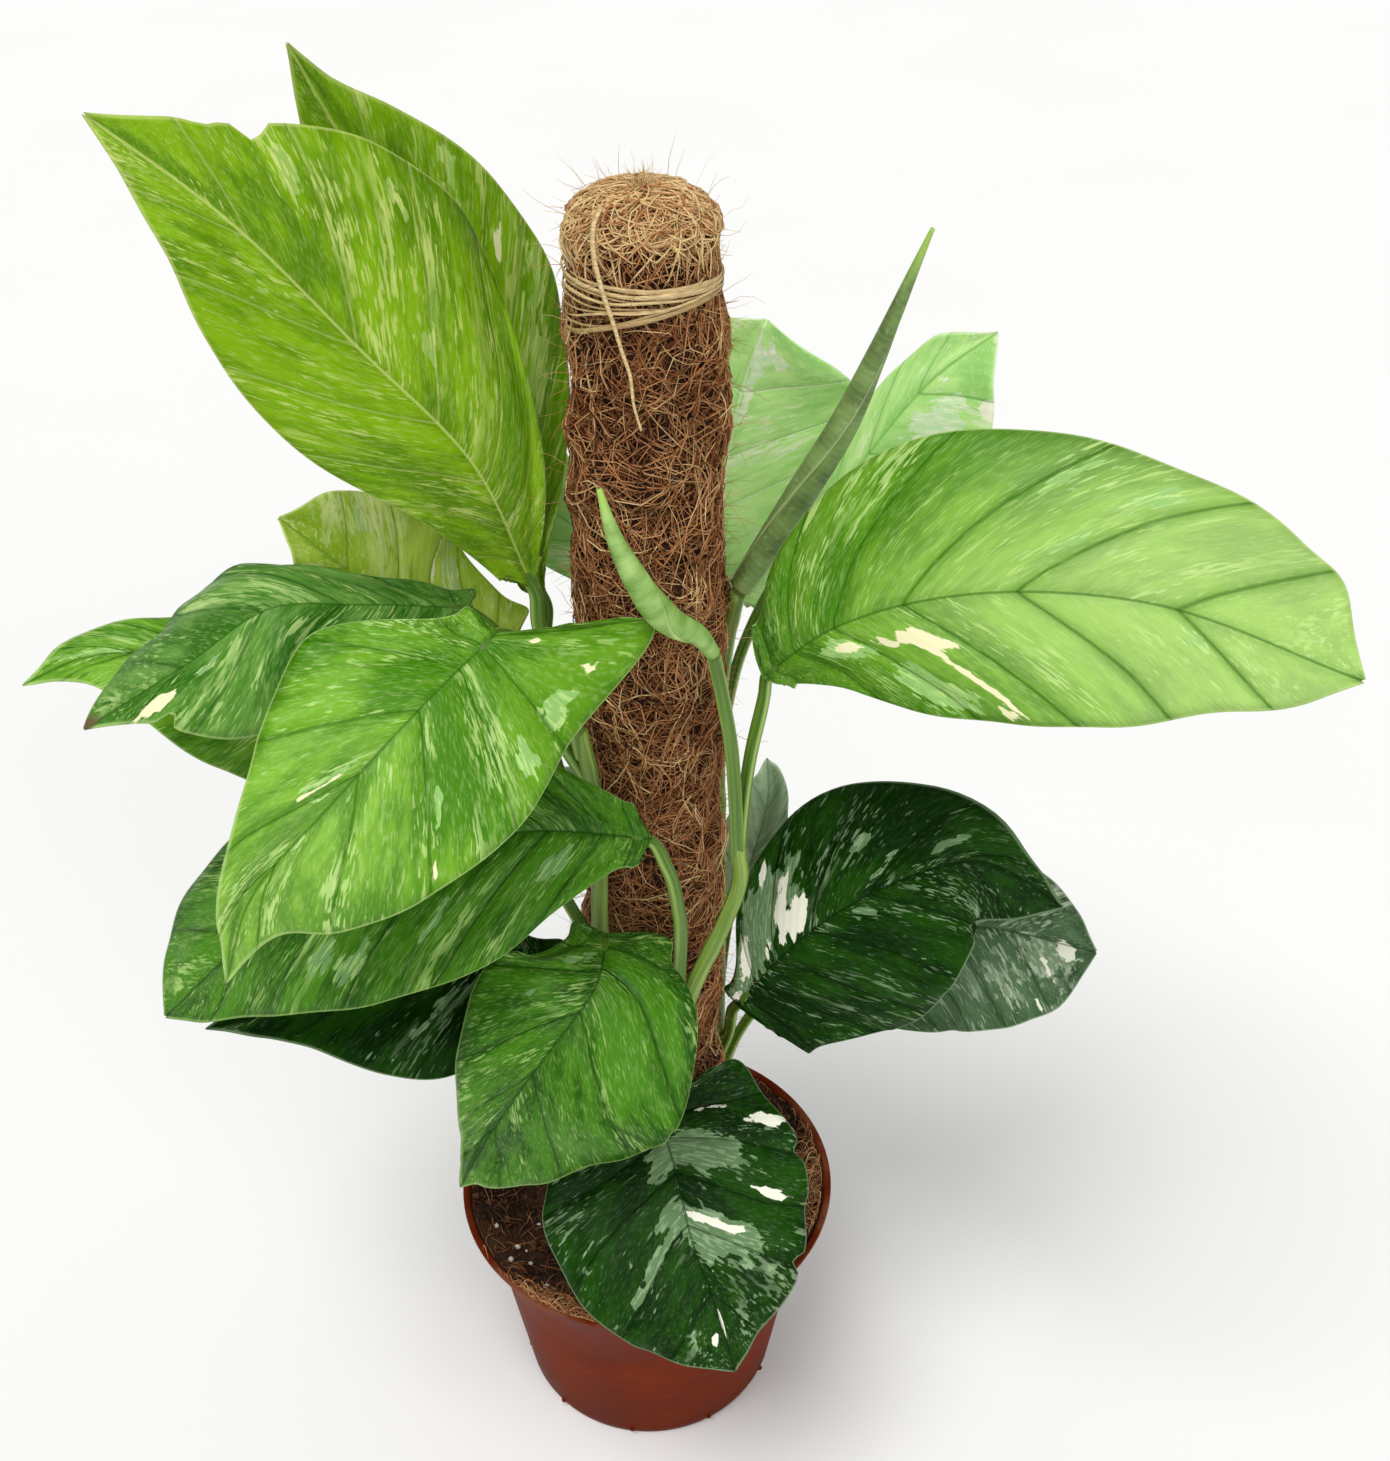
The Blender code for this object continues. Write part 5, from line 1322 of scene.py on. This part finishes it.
def leaf_relief(blade, look, s, v, half):
    """How far the upper surface stands off the smooth blade: quilting, midrib groove and waves."""
    reach = np.abs(v)
    across = reach * half
    ends = np.clip(s / 0.12, 0, 1) * np.clip((1 - s) / 0.10, 0, 1)
    quilt = np.abs(np.sin(pi * (look["veins"] * s))) ** 0.6 - 0.75
    from_rib, from_margin = np.clip(across / 0.006, 0, 1), np.clip((1 - reach) / 0.22, 0, 1)
    quilt = look["quilt"] * MM * quilt * from_rib * from_margin * ends
    groove = -0.0006 * bell(across, RIB_WIDTH * 0.8) * (1 - 0.7 * s)
    shoulder = 0.0003 * bell(across - 0.0024, 0.0014) * (1 - 0.7 * s)
    draw = np.random.default_rng(look["seed"])
    waves = np.zeros(np.broadcast(s, v).shape)
    for k in range(4):
        along, sideways, phase = draw.uniform(1.0, 3.0), draw.uniform(-1.5, 1.5), draw.uniform(0, 2 * pi)
        waves = waves + 0.00045 * np.sin(2 * pi * (along * s + sideways * v) + phase)
    frill = 0.0007 * np.sin(2 * pi * 7.3 * s + np.where(v < 0, 0.0, 2.0) + look["seed"]) * reach**5
    return quilt + (groove + shoulder + waves * np.clip(reach * 2, 0, 1) + frill) * ends


def patch_level(patches, s, v):
    level = np.zeros(np.broadcast(s, v).shape)
    for at_s, at_v, along, across, strength in patches:
        level = level + strength * np.exp(-((s - at_s) / along) ** 2 - ((v - at_v) / across) ** 2)
    return level


def build_leaf(name):
    look = LOOKS[name]
    blade = Blade(**{**LEAVES[name], **look.get("shape", {})})
    s = np.linspace(0.003, 0.997, BLADE_ROWS + 1)[:, None]
    spread = np.linspace(-1, 1, BLADE_COLUMNS + 1)[None, :]
    v = np.sign(spread) * np.abs(spread) ** 1.45
    s, v = np.broadcast_arrays(s, v)
    half = blade.half(s, v)
    drawn_in = v.copy()
    for at, side, depth, width in look.get("notches", []):
        drawn_in = drawn_in * (1 - depth * bell(s - at, width) * (np.sign(v) == side) * np.abs(v) ** 2)
    top = blade.top(s, drawn_in)
    normal = unit(np.cross(np.gradient(top, axis=1), np.gradient(top, axis=0)))
    steady = blade.frame(s**VEIN_SPREAD * blade.length)[2]
    is_clear = ((normal * steady).sum(-1) > 0.35) & (s > 0.02)
    normal = np.where(is_clear[..., None], normal, steady)
    top = top + normal * leaf_relief(blade, look, s, v, half)[..., None]
    across = np.abs(v) * half
    rib = RIB_HEIGHT * (1 - RIB_TAPER * s) * bell(across, RIB_WIDTH)
    fine_rib = 0.00018 * np.abs(np.cos(pi * look["veins"] * s)) ** 8 * (1 - np.abs(v))
    depth = BLADE_THICKNESS * (1 - 0.45 * np.abs(v) ** 6) + rib + fine_rib
    bottom = top - normal * depth[..., None]

    rows, columns = s.shape
    index = np.arange(rows * columns).reshape(rows, columns)
    face = grid_faces(rows, columns)
    under = face[:, ::-1] + rows * columns
    loop = np.concatenate([index[0, :-1], index[:-1, -1], index[-1, :0:-1], index[:0:-1, 0]])
    after = np.roll(loop, -1)
    rim = np.stack([loop, loop + rows * columns, after + rows * columns, after], -1)
    faces = np.concatenate([face[:, ::-1], under[:, ::-1], rim[:, ::-1]])[:, ::-1]

    seed = np.full(s.shape, float(look["seed"]))
    edge = (1 - np.abs(v)) * half / MM
    own_pale = patch_level(look.get("pale", []), s, v)
    own_cream = patch_level(look.get("cream", []), s, v)
    dryness = np.clip((s - look.get("dry_from", 1.0)) / 0.01, 0, 1)
    both = {
        "blade": np.stack([s, v, seed], -1),
        "sizes": np.stack([s * blade.length / MM, v * half / MM, edge], -1),
        "patches": np.stack([own_pale, own_cream, dryness], -1),
    }
    attributes = {key: np.tile(values.reshape(-1, 3), (2, 1)) for key, values in both.items()}
    obj = add_mesh(name + "_blade", np.concatenate([top.reshape(-1, 3), bottom.reshape(-1, 3)]), faces, (),
                   **attributes)
    reach = max(blade.left.max(), blade.right.max()) / MM
    dress(obj, leaf_material(name, look, reach), name, slot=frame_slot(name))


def frame_slot(node):
    """A material slot name for a CAD node, by its leaf's greens."""
    bright = ("leaf_crown_front", "leaf_crown_back", "leaf_left_small", "leaf_behind_pole",
              "leaf_back_left")
    dark = ("leaf_front_low_left", "leaf_low_left", "leaf_bottom_front", "leaf_right_low",
            "leaf_right_low_back", "leaf_back_small", "leaf_back_low")
    return "leaf_bright" if node in bright else "leaf_dark" if node in dark else "leaf_middle"


def stalk_end(leaf):
    """Where a stalk meets its blade from below, and two more points along the midrib's underside."""
    blade = Blade(**LEAVES[leaf])
    place, tangent, normal, _ = blade.frame(np.array([0.0, 0.004, 0.010]))
    under = place - normal * (BLADE_THICKNESS + 0.6 * RIB_HEIGHT)
    has_lobes = max(LEAVES[leaf].get("lobes", (0, 0))) > 0
    first = place[0] - normal[0] * (0.0022 + blade.seat * 0.6) if has_lobes else place[0] - tangent[0] * 0.001
    return [tuple(p / MM) for p in (first, under[1], under[2])], normal[0]


def stalk_shape(sides, groove):
    """A round section with a groove on its upper side."""
    turn = np.linspace(0, 2 * pi, sides, endpoint=False)
    turn = np.where(turn > pi, turn - 2 * pi, turn)
    shoulders = bell(turn - 0.95, 0.3) + bell(turn + 0.95, 0.3)
    return 1 - groove * bell(turn, 0.55) + 0.25 * groove * shoulders


def build_stems():
    material = stalk_material()
    for name, stem in STEMS.items():
        vertices, quads, ends, marks = [], [], [], []
        start = 0
        sides = STEM_SIDES

        def take(points, radii, up, groove, tint):
            nonlocal start
            section = stalk_shape(sides, groove)
            made, faces, caps = tubes(points[None], radii[None], up, sides, shape=section)
            along = np.repeat(np.arange(len(points)) * 1.2, sides)
            turn = np.linspace(0, 1, sides, endpoint=False)
            turn = np.tile(np.where(turn > 0.5, turn - 1, turn), len(points))
            vertices.append(made)
            quads.append(faces + start)
            ends.append(caps + start)
            marks.append(np.stack([along, turn, np.full(len(along), tint)], -1))
            start += len(made)

        radius = stem["radius"] * MM
        foot_x, foot_y, _ = stem["path"][0]
        straight = [(foot_x, foot_y, 76), (foot_x, foot_y, SOIL_LEVEL / MM + 7)]
        points = path_points(straight + stem["path"][1:], STEM_POINTS)
        radii = radius * np.linspace(1, 0.75, STEM_POINTS)
        nodes_at = np.linspace(0.12, 0.95, 7)
        position = np.linspace(0, 1, STEM_POINTS)
        for at in nodes_at:
            radii = radii * (1 + 0.10 * bell(position - at, 0.012))
        outward = unit((foot_x - POLE_X / MM, foot_y, 0))
        take(points, radii, outward, 0.06, 1.0)
        for width, path, leaf in stem["stalks"]:
            end, up = stalk_end(leaf) if leaf else ([], outward)
            curve = path_points(list(path) + end, STALK_POINTS)
            share = np.linspace(0, 1, STALK_POINTS)
            widths = np.full(STALK_POINTS, width * MM)
            if leaf:
                taper = np.array([1.15, 1.0, 0.92, 0.72, 0.3])
                widths = smooth([0, 0.3, 0.82, 0.93, 1.0], taper * width * MM, share)
            knee = 1 + 0.10 * bell(share - 0.86, 0.05) * bool(leaf)
            take(curve, widths * knee, up, 0.34, 0.0)
        stem_piece = add_mesh(name + "_stalks", np.vstack(vertices), np.vstack(quads), np.vstack(ends),
                              stalk=np.vstack(marks))
        dress(stem_piece, material, name, slot="stem")


def build_spears():
    """Rolled leaves: the section's edge steps out where the blade's margin lies on the roll."""
    rings, sides = SPEAR_RINGS, SPEAR_SIDES
    for name, spear in SPEARS.items():
        points = path_points(spear["path"], rings)
        share = np.linspace(0, 1, rings)
        knots = np.linspace(0, 1, len(spear["radii"]))
        radii = smooth(knots, np.array(spear["radii"]) * MM, share)
        tangent = unit(np.gradient(points, axis=0))
        side = unit(np.cross(tangent, (0.31, 0.87, 0.39)))
        other = np.cross(tangent, side)
        turn = np.arange(sides) / sides
        roll = 1.0 + 0.18 * turn
        roll[-1] = 1.08
        angle = 2 * pi * (turn[None, :] + spear["turns"] * share[:, None])
        ripple = 1 + 0.001 * np.sin(share[:, None] * 2 * pi * 60 + 9 * turn[None, :])
        reach = radii[:, None] * roll[None, :] * ripple
        around = side[:, None] * (reach * np.cos(angle))[..., None]
        around = around + other[:, None] * (reach * np.sin(angle))[..., None]
        vertices = (points[:, None] + around).reshape(-1, 3)
        quads = grid_faces(rings, sides, closed=True)
        caps = [(0, k + 1, k) for k in range(1, sides - 1)]
        last = (rings - 1) * sides
        caps += [(last, last + k, last + k + 1) for k in range(1, sides - 1)]
        along = np.repeat(np.linspace(0, 110, rings), sides)
        marks = np.stack([along, np.tile(turn - 0.5, rings), np.zeros(rings * sides)], -1)
        obj = add_mesh(name + "_roll", vertices, quads, caps, stalk=marks)
        dress(obj, spear_material(spear["hue"]), name, slot="rolled_leaf")


# Stage

def build_stage():
    corners = [(x * FLOOR_REACH, y * FLOOR_REACH, 0) for x, y in ((-1, -1), (1, -1), (1, 1), (-1, 1))]
    floor = add_mesh("floor", corners, [(0, 1, 2, 3)])
    n = Nodes("floor_paper", roughness=0.9, specular=0.1)
    n.colour(n.mix(n.noise(n.add("NewGeometry").outputs["Position"], 3.0), "#f4f4f2", "#f9f9f8"))
    floor.data.materials.append(n.material)

    world = bpy.data.worlds.new("studio")
    world.use_nodes = True
    background = world.node_tree.nodes["Background"]
    background.inputs["Color"].default_value = (1.0, 1.0, 1.0, 1.0)
    background.inputs["Strength"].default_value = WORLD_STRENGTH
    bpy.context.scene.world = world

    def sun(name, turn, tilt, softness, power):
        light = bpy.data.lights.new(name, "SUN")
        light.angle = radians(softness)
        light.energy = power
        obj = bpy.data.objects.new(name, light)
        obj.rotation_euler = (radians(tilt), 0.0, radians(turn))
        bpy.context.scene.collection.objects.link(obj)

    sun("key_light", -35, 24, 30, 1.75)
    sun("front_light", 20, 62, 50, 0.95)

    camera = bpy.data.cameras.new("camera")
    camera.lens = CAMERA_LENS
    camera.sensor_width = CAMERA_SENSOR
    obj = bpy.data.objects.new("camera", camera)
    obj.location = CAMERA_PLACE
    obj.rotation_euler = (pi / 2 - CAMERA_TILT_DOWN, 0.0, 0.0)
    bpy.context.scene.collection.objects.link(obj)
    bpy.context.scene.camera = obj
    bpy.context.scene.view_settings.view_transform = "Standard"


def main():
    build_pot()
    build_soil()
    build_pole()
    build_soil_fibres()
    build_cord()
    build_stems()
    build_spears()
    for name in LEAVES:
        build_leaf(name)
    build_stage()


main()
